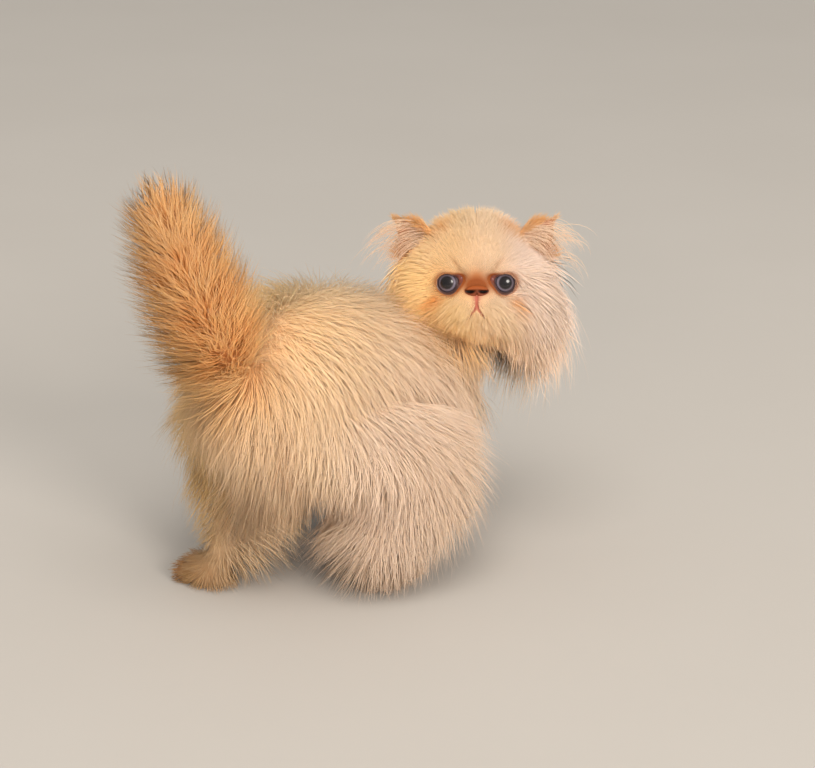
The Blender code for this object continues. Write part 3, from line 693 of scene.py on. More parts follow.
def head_hair(local):
    """The head's hair, which runs away from the nose, is shortest by nose and eyes and longest on the cheeks.

    Its length goes from the cheek's to the crown's with height, is cut by a ramp round each eye and the nose,
    and grows by bells on chin, ruff and right cheek. Its lie is the way from the nose's root, plus a drop and
    turned off the eyes.
    """
    side, front, up = np.abs(local[:, 0]), local[:, 1], local[:, 2]
    tilt = np.degrees(front_angle(local))
    free = smooth_step(5, 25, local[:, 0])  # the turned head leaves the left cheek's ruff hanging free
    crown = smooth_step(-0.15, 0.45, up / np.linalg.norm(local, axis=-1))
    low = np.interp(tilt, *CHEEK_LENGTHS) * (1 + 0.22 * free)
    length = low + (np.interp(tilt, *CROWN_LENGTHS) - low) * crown
    off_face = 30 * (front < FACE_FROM)
    eye = np.hypot(side - EYE_OPENS[0], up - EYE_OPENS[1]) + off_face
    length = length * (0.45 + 0.55 * smooth_step(6, 12, eye))
    length = length * (0.5 + 0.5 * smooth_step(4, 11, np.hypot(side, up - NOSE_HIGH) + off_face))
    chin = near(local, *CHIN)
    under = near(local, (-2, 12, -29), (15, 12, 9))
    ruff = smooth_step(6, 24, local[:, 0]) * near(local[:, 1:], (2, -20), (18, 13))
    ear = near(np.stack([side, front, up], -1), (29, 7, 12), (9, 8, 9))
    cheek = smooth_step(8, 24, -local[:, 0]) * bell(up + 2, 14) * smooth_step(20, 5, front)
    length = length + 3.0 * chin + 2.0 * near(local, (9, 26, -19), 5) + 2.0 * near(local, (-9, 26, -19), 5)
    length = length * (1 - 0.5 * under) * (1 - 0.6 * ear) + 23 * ruff + 16 * cheek

    drop = np.stack([0.25 * np.sign(local[:, 0]), -0.2 + 0 * side, -0.55 * (1 - crown)], -1)
    lie = unit(local - NOSE_ROOT) + drop * smooth_step(35, 70, tilt)[:, None] - UP * cheek[:, None]
    from_eye = np.stack([(side - EYE_OPENS[0]) * np.sign(local[:, 0]), 0 * side, up - EYE_OPENS[1]], -1)
    from_eye, ring = unit(from_eye), smooth_step(10.5, 6.5, eye)[:, None]
    lie = unit(lie) - from_eye * (unit(lie) * from_eye).sum(-1, keepdims=True) * ring - UP * 0.3 * ring
    lie = lie + CHIN_DROP * chin[:, None] + RUFF_DROP * ruff[:, None]
    end = np.interp(tilt, *HEAD_END) + 0.06 * crown
    sag = 0.5 * smooth_step(12, 28, length) + 0.5 * ruff
    return lie @ HEAD_AXES, length, np.interp(tilt, *HEAD_STAND), end, sag


# Hair of the limbs, by the share of the way along each: lengths in millimetres, and how far the tip stands.
TAIL_LENGTHS = (0, 0.1, 0.4, 0.7, 1), (30, 36, 40, 36, 26)
TAIL_END = (0, 0.8, 1), (0.5, 0.42, 0.2)
FORE_LENGTHS = (0, 0.4, 0.8, 1), (28, 24, 14, 7)
HIND_SHARES, HIND_END = (0, 0.45, 0.6, 0.75, 1), ((0, 0.6, 1), (0.16, 0.2, 0.2))
HIND_HAIR = {
    "right_hind_leg": ((42, 40, 34, 26, 14), 0.85 * SIDE + 0.45 * BACK),
    "left_hind_leg": ((40, 33, 22, 12, 8), -0.95 * SIDE - 0.1 * BACK),
}  # lengths, and the way that the feathered inner side faces
FEATHER_LENGTHS, FEATHER_SHARE = ((0, 0.6, 1), (46, 44, 22)), ((0.1, 0.3, 0.7, 1), (0, 1, 1, 0.2))


def hair_fields(points, normals, found):
    """Lie, length, how far hair stands at its root and tip, and sag: each region's own, summed by its weight.

    A lie is first laid flat on the skin by taking out its part along the normal.
    """
    count = len(points)
    lie, sizes = np.zeros((count, 3)), np.zeros((count, 4))

    def add(name, way, length, stand, end, sag):
        share = weight_of(found, name)[:, None]
        way = unit(way - normals * (way * normals).sum(-1, keepdims=True))
        lie[:] += share * way
        sizes[:] += share * np.stack([np.broadcast_to(v, (count,)) for v in (length, stand, end, sag)], -1)

    flat = 1 - np.abs(normals[:, 2])[:, None]
    top = smooth_step(0.1, 0.9, normals[:, 2])
    belly = smooth_step(-0.1, -0.8, normals[:, 2]) * smooth_step(-40, 0, points[:, 1])
    over = (normals[:, :1] * 1.5 - 0.4) * top[:, None]  # hair falls to both sides of a line left of the spine
    body = BACK * 0.35 - UP * (0.4 + 0.8 * flat) + SIDE * over
    breech = near(points, *BREECH)
    torso_end, torso_sag = 0.15 + 0.35 * belly, 0.05 + 0.4 * belly + 0.6 * breech
    add("torso", body, 42 - 7 * top + 6 * belly + 24 * breech, 0.55, torso_end, torso_sag)
    add("neck", -UP * 0.9 - BACK * 0.1, 33, 0.55, 0.2, 0.35)
    share = found["share"]["tail"]
    tail_lie = LIMB_SHAPES["tail"].along_at(share)
    add("tail", tail_lie, np.interp(share, *TAIL_LENGTHS), 0.7, np.interp(share, *TAIL_END), 0.0)
    for name, (lengths, inner) in HIND_HAIR.items():
        share = found["share"][name]
        length = np.interp(share, HIND_SHARES, lengths)
        feather = smooth_step(0.0, 0.7, normals @ unit(inner)) * np.interp(share, *FEATHER_SHARE)
        length = length + (np.interp(share, *FEATHER_LENGTHS) - length) * feather
        length = length + 22 * breech
        end = np.interp(share, *HIND_END) + 0.3 * feather
        thigh = BACK * 0.2 - UP + SIDE * over * 0.5
        add(name, thigh, length, 0.55 + 0.12 * feather, end, 0.1 + 0.15 * feather + 0.35 * breech)
    for name in ("right_fore_leg", "left_fore_leg"):
        length = np.interp(found["share"][name], *FORE_LENGTHS)
        add(name, -UP + BACK * 0.25, length, 0.55, 0.25, 0.1)
    for name in PAWS:
        sole, _, ahead = paw_axes(name)
        heel = smooth_step(0, -10, (points - sole) @ ahead)
        add(name, ahead - UP * 0.6 - ahead * 1.2 * heel[:, None], 7.5 + 7 * heel, 0.45, 0.18, 0.0)
    add("head", *head_hair(found["local"]))
    for side in ("right", "left"):
        up, across, front, _ = found[side + "_ear"].T
        _, tall, _, sideways = (mirrored(way, side) @ HEAD_AXES for way in ear_frame())
        inner_edge, outer_edge = smooth_step(0.4, 0.9, across), smooth_step(-0.6, -1.0, across)
        tip = smooth_step(0.6, 0.95, up)
        way = tall - sideways * (0.4 * inner_edge + 0.8 * outer_edge + 0.5 * tip)[:, None]
        length = np.where(front > EAR_INSIDE, 2.2, 6.0) + 3.0 * outer_edge + 4.5 * inner_edge + 8.0 * tip
        add(side + "_ear", way, length, 0.35, 0.15, 0.0)
    return unit(lie), sizes


# Orange spots of the face, each a bell in the head's axes: left, front, up, wide, deep, high and strength.
SPOTS = [
    (0, 29, -3.5, 5.4, 6, 2.6, 1.0),
    (0, 28, 0.8, 2.6, 6, 3.0, 0.9),
    (-20.8, 22, -12.0, 3.2, 6, 2.5, 1.0),
    (-24.4, 18.5, -14.8, 2.6, 6, 2.2, 0.7),
    (20.4, 22.5, -13.4, 3.4, 6, 3.0, 1.0),
    (-18, 8, 24.5, 5.0, 6.0, 4.0, 0.8),
    (18, 8, 24.5, 5.0, 6.0, 4.0, 0.8),
]
TAIL_ROOT = (2, 40, 112), (16, 16, 18)
RUMP_TOP = (0, 20, 130), (40, 34, 24)
BREECH_LINE = (-14, 30, 68), (2.5, 14, 14)  # the brown parting of the breech hair
EYE_HOLLOW = (7.6, 27, 0.8), (2.2, 6, 1.6)


def across_face(bell, side):
    """A bell of the left side of the face, or its like on the right."""
    (left, front, up), spread = bell
    return (side * left, front, up), spread


def markings(points, found):
    """Orange, gold, brown, bare skin, paleness and lips, from 0 to 1. Each sums bells and ramps by place.

    The tail's orange has bands, 0.85 + 0.15 * sin, and streaks, 0.84 + 0.16 * cos. The lids' brown is a bell
    round the openings' edge, and the lips' colour one round the line of the mouth. The gold over the body's
    left side is painted shade, away from the key light, the pale over its right side painted light, and part
    of the paws' orange painted shade low down.
    """
    local = found["local"]
    head, tail = weight_of(found, "head"), weight_of(found, "tail")
    orange = tail * (0.85 + 0.15 * np.sin(found["share"]["tail"] * 21 + points[:, 0] * 0.2))
    orange = orange + 0.55 * near(points, *TAIL_ROOT) * (1 - tail)
    streak = 0.84 + 0.16 * np.cos(points[:, 1] * 0.09 - points[:, 2] * 0.03 - 1.0)
    orange = orange * np.where(tail > 0.5, streak, 1.0)
    gold, brown, bare = np.zeros((3, len(points)))
    for side in ("right", "left"):
        up, across, front, _ = found[side + "_ear"].T
        ear, inside = weight_of(found, side + "_ear"), front > EAR_INSIDE
        cup = inside * smooth_step(0.9, 0.55, across) * smooth_step(-1.0, -0.8, across)
        cup = cup * smooth_step(0.95, 0.7, up)
        orange = orange + ear * (0.72 - 0.5 * cup)
        gold = gold + ear * (1.0 - 0.6 * cup)
        skin = ear * inside * smooth_step(1.0, 0.75, np.abs(across)) * smooth_step(0.95, 0.75, up)
        bare = np.maximum(bare, skin)
    for left, front, up, wide, deep, high, strength in SPOTS:
        orange = orange + head * strength * near(local, (left, front, up), (wide, deep, high))
    for name in PAWS:
        sole, _, ahead = paw_axes(name)
        toes = smooth_step(3, 13, (points - sole) @ ahead)
        # orange on the paws: the toes' own orange, and a base share over the whole paw as painted shade low
        # down
        orange = orange + weight_of(found, name) * (0.3 + 0.4 * toes)
    throat = near(local, (4, 12, -40), (20, 22, 9)) * (1 - 0.2 * head)
    orange = orange + 0.85 * throat

    cheek = 0.9 * near(local, (-26, 10, -10), 13) + 0.55 * smooth_step(6, -14, local[:, 0])
    gold = gold + 0.9 * tail + head * cheek
    gold = gold + head * 0.5 * near(local, (0, 24, -18), (14, 9, 6))
    # painted shade: gold over the body's left side, away from the key light
    gold = gold + 0.9 * smooth_step(-5, 40, points[:, 0]) * (1 - tail) * (1 - head)
    gold = gold + 0.5 * near(points, *RUMP_TOP) * (1 - head)
    gold = gold + 1.2 * throat

    brown = brown + 0.7 * near(points, *BREECH_LINE)
    nostrils, bridge = near(local, (0, 30, -4.5), (6.0, 4, 2.4)), near(local, (0, 30, -1.8), (4.6, 6, 3.4))
    brown = brown + head * 0.75 * nostrils + bridge
    inward, _ = eye_inward(local[:, 0], local[:, 2])
    brown = brown + head * 0.8 * bell(inward + 0.6, 0.8) * (local[:, 1] > FACE_FROM)
    for side in (-1, 1):
        crease = crease_distance(side * local[:, 0], local[:, 2])
        brown = brown + head * 0.30 * bell(crease, 1.0) * near(local, *across_face(CREASE, side))
        brown = brown + head * 0.5 * near(local, *across_face(EYE_HOLLOW, side))

    pale = head * 0.9 * smooth_step(8, 24, local[:, 0])
    pale = pale + 0.8 * weight_of(found, "neck") * smooth_step(-4, 12, local[:, 0])
    # painted light: pale pink over the body's right side, where the key light falls
    pale = (pale + 0.6 * smooth_step(-25, -60, points[:, 0]) * (1 - head)) * (1 - throat)
    gap = mouth_distance(local[:, 0], local[:, 2])
    lips = head * smooth_step(14, 20, local[:, 1]) * bell(gap, 1.4)
    lips = lips * (np.abs(local[:, 0]) < 8)
    return np.clip(np.stack([orange, gold, brown, bare, pale, lips], -1), 0, 1)


def painted_shade(points, found):
    """How much darker the coat is by place, as painted shade: on the legs and feet, low under the lit body,
    at the throat under the chin, and on the rump's left side, away from the key light.
    """
    high, head, tail = points[:, 2], weight_of(found, "head"), weight_of(found, "tail")
    # painted shade on the left side, away from the key light
    side = smooth_step(0, 50, points[:, 0]) * smooth_step(150, 110, high) * (1 - tail)
    # painted shade at the throat, under the chin
    throat = near(in_head(points), (4, 14, -40), (20, 20, 9)) * (1 - head)
    # painted shade low on the legs and feet
    legs = 2.2 * smooth_step(95, 25, high) + 2.4 * smooth_step(34, 10, high)
    return (1 - head) * (legs + 1.8 * side) + 3.8 * throat


def coat_painted_light_and_shade(root, found, length):
    """How much darker a piece of coat is, as painted light and shade: darker where it is short on the brow,
    which the light falls on most, and lighter where it is long, against its deeper shadow, and on the shaded
    cheek, ruff and rump top.

    That is the short brow's share - 0.6 * the long hair's share + the painted shade by place - bells on
    cheek, ruff and rump.
    """
    short = 1 - smooth_step(4, 11, length)
    # painted shade on the short hair of the brow, which the light falls on most
    forehead = short * near(found["local"], (0, 27, 12), (18, 14, 10))
    cheek = weight_of(found, "head") * smooth_step(-5, -24, found["local"][:, 0])
    ruff = near(found["local"], (13, -3, -31), (15, 20, 13))
    # painted light on long hair, against its deeper shadow, and the painted shade by place
    dim = forehead - 0.6 * (1 - short) + painted_shade(root, found)
    # painted light on the shaded left cheek, the ruff's hollow and the top of the rump
    return dim - 2.6 * cheek - 4.0 * ruff - 2.6 * near(root, (2, 24, 138), (24, 24, 14))


def unwrap(points, found):
    """A chart of the skin's own shape: turn round a limb and share along it, or turn and tilt on the head."""
    chart = np.zeros((len(points), 2))

    def place(name, *values):
        here = found["region"] == REGIONS.index(name)
        chart[here] = np.stack(values, -1)[here]

    for name in LIMBS:
        place(name, found["turn"][name] / (2 * math.pi) + 0.5, found["share"][name])
    local = found["local"]
    tilt = front_angle(local) / math.pi
    turn = np.arctan2(local[:, 0], -local[:, 2])
    place("head", 0.5 + 0.5 * (tilt * np.sin(turn)), 0.5 + 0.5 * (tilt * np.cos(turn)))
    for side in ("right", "left"):
        up, across, front, _ = found[side + "_ear"].T
        place(side + "_ear", 0.25 + 0.2 * across + 0.5 * (front > 0), up)
    for name in PAWS:
        sole, left, ahead = paw_axes(name)
        away = points - sole
        shrink = 0.5 + 0.4 * (1 - away[:, 2] / PAW_HEIGHT)
        place(name, 0.5 + away @ left / PAW_WIDTH * shrink, 0.5 + away @ ahead / PAW_LENGTH * shrink)
    return 0.004 + 0.992 * np.clip(chart, 0, 1)


# The coat. A tuft is a thin closed spine of three-cornered rings that tapers to a point.
CORNERS = ((-1.0, -0.30), (1.0, -0.30), (0.0, 0.60))  # of a ring: sideways and outward, in half widths
ROOT_DEPTH = 0.6  # how far under the skin a tuft starts
PATCH = 0.0014  # half the side of a tuft's patch of the chart
SHORTEST, LONGEST = 0.62, 1.06  # how far a tuft's length strays from that of its place


def tuft_faces(stations):
    """Triangles of one tuft: bands between its rings, one face over the root and three up to the tip."""
    end, tip = (stations - 1) * 3, stations * 3
    caps = np.array([(2, 1, 0), (end, end + 1, tip), (end + 1, end + 2, tip), (end + 2, end, tip)])
    return np.concatenate([band_faces(stations, 3), caps])


def grow_tufts(name, root, out, first, last, length, width, marks, pale, chart, material, options):
    """Tufts as one mesh. A tuft's path is root + length * ((t - t^2 / 2) * first + t^2 / 2 * last) + a wave.

    Tufts gather towards the nearest of a few leading ones, the more so nearer the tip. A ring's half width is
    half of width * (1 - t^2.4), less near the root. Each tuft's corners share one small patch of the chart at
    its root. The shading's normals lean from the tuft's own towards the skin's, or with lift towards the side
    of the tuft that faces up.
    """
    count, stations = len(root), options["stations"]
    draw = np.random.default_rng(options["seed"])
    t = np.linspace(0, 1, stations + 1)[None, :, None]
    path = (t - t * t / 2) * first[:, None] + t * t / 2 * last[:, None]
    path = root[:, None] - out[:, None] * ROOT_DEPTH + length[:, None, None] * path
    across = unit(np.cross(out, last))
    lead = draw.choice(count, max(count // options["gather"], 1), replace=False)
    nearest = np.empty(count, int)
    for part in batches(count, 2500):
        nearest[part] = lead[((root[part, None] - root[lead]) ** 2).sum(-1).argmin(1)]
    wave = draw.uniform(0, 1, count)[nearest] + draw.uniform(-0.12, 0.12, count)
    swing = np.sin(2 * math.pi * (options["waves"] * t[..., 0] + wave[:, None])) * t[..., 0]
    path = path + across[:, None] * (swing * options["curl"] * (length / 25)[:, None])[..., None]
    loose = draw.uniform(0, 1, count) < options["loose"]
    pull = np.where(loose, 0.0, options["clump"] * draw.uniform(0.6, 1.0, count))[:, None, None]
    path = path + pull * t**1.2 * (path[nearest] + (root - root[nearest])[:, None] * 0.12 - path)
    clear = 0.7 + 0.5 * draw.uniform(0, 1, count)[:, None]  # no tuft goes nearer to the floor
    path[..., 2] = np.maximum(path[..., 2], clear)

    along = unit(np.gradient(path, axis=1))
    wide = unit(np.cross(along, out[:, None] + 1e-4))
    high = np.cross(wide, along)
    wide, high = wide[:, :-1], high[:, :-1]
    taper = (1 - t[:, :-1] ** 2.4) * (0.65 + 0.35 * smooth_step(0, 0.4, t[:, :-1]))
    half = width[:, None, None] / 2 * taper
    rings = np.stack([path[:, :-1] + half * (wide * a + high * b) for a, b in CORNERS], 2)
    points = np.concatenate([rings.reshape(count, -1, 3), path[:, -1:]], 1)
    size = points.shape[1]
    faces = facing_out(points[0], tuft_faces(stations))
    faces = (faces[None] + (np.arange(count) * size)[:, None, None]).reshape(-1, 3)
    data = make_piece(name, points.reshape(-1, 3), faces, material).data

    level = np.concatenate([np.repeat(t[0, :-1, 0], 3), [1.0]])
    tone = draw.uniform(0, 1, count) * 0.6 + 0.4 * draw.uniform(0, 1, count)[nearest]
    # the piece's dim: painted shade, or painted light where it is below 0
    tone = tone - options.get("dim", 0.0)
    strand = np.ones((count, size, 4), np.float32)
    strand[..., 0], strand[..., 1], strand[..., 2] = tone[:, None], level, pale[:, None]
    write_colour(data, "strand", strand)
    write_colour(data, "marks", np.repeat(np.concatenate([marks, np.ones((count, 1))], -1)[:, None], size, 1))
    lean = options.get("blend", 1.3)
    if lean:
        upper = UP * 0.2 - last * (out * last).sum(-1, keepdims=True)
        facing = unit(out + upper * options.get("lift", 0.0))[:, None]
        shade = np.stack([facing * lean + 0.5 * (wide * a + high * b * 2) for a, b in CORNERS], 2)
        shade = np.concatenate([shade.reshape(count, -1, 3), facing], 1)
        data.normals_split_custom_set_from_vertices(unit(shade).reshape(-1, 3).astype(np.float32))
    layer = data.uv_layers.new(name="OFBake")
    patch = np.stack([np.tile((-1, 1, 0), stations), np.repeat(t[0, :-1, 0] * 2 - 1, 3)], -1)
    spread = chart[:, None] + np.concatenate([patch, [(0, 1)]])[None] * PATCH
    layer.data.foreach_set("uv", spread.reshape(-1, 2)[faces.ravel()].astype(np.float32).ravel())


class Skin:
    """The skin's arrays, to set roots on."""

    def __init__(self, data):
        self.points, self.normals, self.faces = mesh_arrays(data)
        self.found = survey(self.points)
        a, b, c = (self.points[self.faces[:, k]] for k in range(3))
        self.areas = np.linalg.norm(np.cross(b - a, c - a), axis=-1) / 2
        self.middles = self.points[self.faces].mean(1)
        self.regions = self.found["region"][self.faces[:, 0]]
        self.bare = self.bare_places(self.middles)

    def bare_places(self, points):
        """Where no hair grows: the eye openings, the nose leather, the line of the mouth, and the soles."""
        local = in_head(points)
        side, up = np.abs(local[:, 0]), local[:, 2]
        eyes = eye_inward(local[:, 0], up)[0] > -0.2
        leather = (side / 5.6) ** 2 + ((up - NOSE_HIGH + 0.9) / 2.6) ** 2 < 1
        mouth = (mouth_distance(local[:, 0], up) < 0.6) & (side < 5.5)
        front = (local[:, 1] > FACE_FROM) & (np.linalg.norm(local, axis=-1) < 45)
        return front & (eyes | leather | mouth) | (points[:, 2] < 1.0)

    def roots(self, draw, chosen, density, count):
        """Places on the chosen triangles, one to each equal share of area times density, in mixed order."""
        chance = self.areas * chosen * density * ~self.bare
        shares = (np.arange(count) + draw.uniform(0, 1, count)) / count
        picks = np.searchsorted(np.cumsum(chance), draw.permutation(shares) * chance.sum())
        a, b = draw.uniform(0, 1, (2, count))
        over = a + b > 1
        a, b = np.where(over, 1 - a, a), np.where(over, 1 - b, b)
        share = np.stack([1 - a - b, a, b], -1)[..., None]
        corners = self.faces[picks]
        return (self.points[corners] * share).sum(1), unit((self.normals[corners] * share).sum(1))


def coat(skin, name, regions, count, width, material, options, where, density):
    """One piece of coat over some regions of the skin, from the fields of lie, length and colour at roots."""
    draw = np.random.default_rng(options["seed"] + 1000)
    chosen = np.isin(skin.regions, [REGIONS.index(r) for r in regions])
    if where:
        chosen &= where(skin.middles)
    thick = np.ones(len(skin.faces))
    if density:
        thick[chosen] = density(skin.middles[chosen])
    root, out = skin.roots(draw, chosen, thick, count)
    found = survey(root)
    lie, sizes = hair_fields(root, out, found)
    middle = root + lie * sizes[:, :1] * 0.42
    marks = markings(middle, found | {"local": in_head(middle)})
    length = sizes[:, 0] * draw.uniform(options.get("shortest", SHORTEST), LONGEST, count)
    length = length * options.get("longer", 1.0)
    # the painted light and shade of each place joins the piece's own dim
    options = {**options, "dim": options.get("dim", 0.0) + coat_painted_light_and_shade(root, found, sizes[:, 0])}
    swerve = draw.normal(0, options["stray"], count)[:, None]
    lie = unit(lie * np.cos(swerve) + np.cross(out, lie) * np.sin(swerve))
    stand = np.clip(sizes[:, 1:2] + draw.normal(0, 0.07, (count, 1)), 0.05, 0.95)
    end = np.clip(sizes[:, 2:3] + draw.normal(0, 0.08, (count, 1)), 0.02, 0.9)
    first = unit(out * stand + lie * (1 - stand))
    last = unit(out * end + lie * (1 - end) - UP * sizes[:, 3:4])
    width = width * draw.uniform(0.75, 1.25, count) * np.clip((length / 12) ** 0.35, 0.6, 1.25)
    chart, pale = unwrap(root, found), marks[:, 4]
    marks = marks[:, :3]
    grow_tufts(name, root, out, first, last, length, width, marks, pale, chart, material, options)


# Materials.


def link(tree, source, target):
    tree.links.new(source, target)


def node(tree, kind, **inputs):
    """A shader node with values for its named inputs."""
    made = tree.nodes.new(kind)
    for name, value in inputs.items():
        made.inputs[name.replace("_", " ")].default_value = value
    return made


def feed(tree, sockets, values):
    """Gives each socket its value, or a link where the value is a socket."""
    for socket, value in zip(sockets, values):
        if isinstance(value, bpy.types.NodeSocket):
            link(tree, value, socket)
        else:
            socket.default_value = value


def mixed(tree, share, low, high, blend="MIX"):
    """Colour mix: low where share is 0, high where it is 1."""
    mix = tree.nodes.new("ShaderNodeMix")
    mix.data_type, mix.blend_type = "RGBA", blend
    feed(tree, (mix.inputs[0], mix.inputs[6], mix.inputs[7]), (share, low, high))
    return mix.outputs[2]


def sum_of(tree, kind, *values):
    """One step of arithmetic."""
    step = tree.nodes.new("ShaderNodeMath")
    step.operation = kind
    feed(tree, step.inputs, values)
    return step.outputs[0]


def texture(tree, kind, output, **inputs):
    """A texture over the piece's own place."""
    made = node(tree, kind, **inputs)
    link(tree, tree.nodes.new("ShaderNodeTexCoord").outputs["Object"], made.inputs["Vector"])
    return made.outputs[output]


def noise(tree, scale, detail, roughness):
    """Soft noise over the piece's own place, from 0 to 1."""
    return texture(tree, "ShaderNodeTexNoise", "Fac", Scale=scale, Detail=detail, Roughness=roughness)


def channels(tree, colour):
    """The three numbers of a colour."""
    parts = tree.nodes.new("ShaderNodeSeparateColor")
    link(tree, colour, parts.inputs[0])
    return parts.outputs


def attribute(tree, name):
    """An attribute of the piece's mesh, as a colour."""
    read = tree.nodes.new("ShaderNodeAttribute")
    read.attribute_name = name
    return read.outputs["Color"]


def bumps(tree, shader, height, strength, distance):
    """Fine bumps on a surface, as high in metres as distance."""
    bump = node(tree, "ShaderNodeBump", Strength=strength, Distance=distance)
    link(tree, height, bump.inputs["Height"])
    link(tree, bump.outputs["Normal"], shader.inputs["Normal"])


def finish(tree, shader, colour, source, slope, least):
    """Links the colour, and a roughness of source * slope + least."""
    link(tree, colour, shader.inputs["Base Color"])
    link(tree, sum_of(tree, "MULTIPLY_ADD", source, slope, least), shader.inputs["Roughness"])


def new_material(name, **values):
    """A material, its tree and its shader, with values for the shader's named inputs."""
    material = bpy.data.materials.new(name)
    material.use_nodes = True
    shader = material.node_tree.nodes["Principled BSDF"]
    for key, value in values.items():
        shader.inputs[key.replace("_", " ")].default_value = value
    return material, material.node_tree, shader


TONES = {
    "Cream": (0.88, 0.58, 0.355, 1),
    "Pale": (0.87, 0.615, 0.48, 1),
    "Gold": (0.90, 0.53, 0.22, 1),
    "Orange": (0.72, 0.265, 0.075, 1),
    "Brown": (0.33, 0.08, 0.014, 1),
}


def coat_tone_group():
    """Colours of the coat from its marks: cream, then pale, gold, orange and brown, lighter to the tips.

    Gold and orange come and go with broad noise, and orange fades along a tuft as 1.3 - 0.8 * along. The
    lightness is 0.92 + 0.11 * tone, with broad and fine noise added, times 0.94 + 0.08 * along.
    """
    group = bpy.data.node_groups.new("coat_tones", "ShaderNodeTree")
    face = group.interface
    for name in (*TONES, "Marks", "Strand"):
        face.new_socket(name, in_out="INPUT", socket_type="NodeSocketColor")
    face.new_socket("Drift", in_out="INPUT", socket_type="NodeSocketFloat").default_value = 0.12
    face.new_socket("Colour", in_out="OUTPUT", socket_type="NodeSocketColor")
    face.new_socket("Roughness", in_out="OUTPUT", socket_type="NodeSocketFloat")
    start, end = group.nodes.new("NodeGroupInput").outputs, group.nodes.new("NodeGroupOutput").inputs

    def step(kind, *values):
        return sum_of(group, kind, *values)

    tone, along, pale = channels(group, start["Strand"])
    orange, gold, brown = channels(group, start["Marks"])
    broad, fine = noise(group, 60.0, 3.0, 0.55), noise(group, 420.0, 2.0, 0.6)
    colour = mixed(group, pale, start["Cream"], start["Pale"])
    warm = step("MULTIPLY", gold, step("MULTIPLY_ADD", broad, 0.7, 0.65))
    colour = mixed(group, step("MINIMUM", warm, 1.0), colour, start["Gold"])
    fading = step("MULTIPLY", orange, step("MULTIPLY_ADD", along, -0.8, 1.3))
    rusty = step("MULTIPLY", fading, step("MULTIPLY_ADD", broad, 0.8, 0.6))
    colour = mixed(group, step("MINIMUM", rusty, 1.0), colour, start["Orange"])
    colour = mixed(group, brown, colour, start["Brown"])
    drift = step("MULTIPLY", step("SUBTRACT", broad, 0.5), start["Drift"])
    light = step("ADD", step("MULTIPLY_ADD", tone, 0.11, 0.92), drift)
    light = step("ADD", light, step("MULTIPLY", step("SUBTRACT", fine, 0.5), 0.1))
    light = step("MULTIPLY", light, step("MULTIPLY_ADD", along, 0.08, 0.94))
    grey = group.nodes.new("ShaderNodeCombineColor")
    feed(group, grey.inputs, (light, light, light))
    link(group, mixed(group, 1.0, colour, grey.outputs[0], "MULTIPLY"), end["Colour"])
    link(group, step("MULTIPLY_ADD", fine, 0.14, 0.56), end["Roughness"])
    return group


def coat_tones(tree, group):
    """The coat's tones placed in a material, reading the piece's own marks."""
    tones = tree.nodes.new("ShaderNodeGroup")
    tones.node_tree = group
    for name, value in TONES.items():
        tones.inputs[name].default_value = value
    for name in ("Marks", "Strand"):
        link(tree, attribute(tree, name.lower()), tones.inputs[name])
    return tones.outputs


def coat_material(group):
    """Soft hair: the coat's tones, a matt surface, a little light through it and a pale sheen."""
    material, tree, shader = new_material(
        "long_coat",
        Sheen_Weight=0.06,
        Sheen_Roughness=0.45,
        Sheen_Tint=(1.0, 0.85, 0.7, 1),
        Specular_IOR_Level=0.12,
        Subsurface_Weight=0.3,
        Subsurface_Radius=(1.0, 0.62, 0.40),
        Subsurface_Scale=0.0006,
    )
    tones = coat_tones(tree, group)
    link(tree, tones["Colour"], shader.inputs["Base Color"])
    link(tree, tones["Roughness"], shader.inputs["Roughness"])
    return material


def skin_material(group):
    """The undercoat's tones over the body, and bare skin in the ears and on the lips, with fine bumps."""
    material, tree, shader = new_material("skin", Specular_IOR_Level=0.3, Sheen_Weight=0.1)
    ears, lips, _ = channels(tree, attribute(tree, "bare"))
    pink = mixed(tree, noise(tree, 160.0, 3.0, 0.55), (0.62, 0.29, 0.15, 1), (0.36, 0.13, 0.06, 1))
    colour = mixed(tree, ears, coat_tones(tree, group)["Colour"], pink)
    finish(tree, shader, mixed(tree, lips, colour, (0.42, 0.12, 0.08, 1)), ears, -0.2, 0.72)
    bumps(tree, shader, noise(tree, 900.0, 3.0, 0.6), 0.35, 0.0003)
    return material


# The iris by its distance from the pupil's middle: the pupil, the pale ring, its dark rim, the outer edge,
# and beyond it the white of the eye painted dark brown, as painted shade under the lids.
IRIS = [
    (0.0, (0.006, 0.005, 0.006)),
    (0.29, (0.012, 0.008, 0.009)),
    (0.33, (0.06, 0.05, 0.06)),
    (0.38, (0.21, 0.185, 0.225)),
    (0.44, (0.17, 0.145, 0.185)),
    (0.49, (0.03, 0.022, 0.028)),
    (0.54, (0.12, 0.09, 0.10)),
    (0.75, (0.11, 0.05, 0.04)),
]


def ramp(tree, source, stops):
    """A colour ramp through (place, colour) stops."""
    made = tree.nodes.new("ShaderNodeValToRGB")
    elements = made.color_ramp.elements
    while len(elements) < len(stops):
        elements.new(0.5)
    for element, (place, colour) in zip(elements, stops):
        element.position, element.color = place, (*colour, 1)
    link(tree, source, made.inputs["Fac"])
    return made.outputs["Color"]


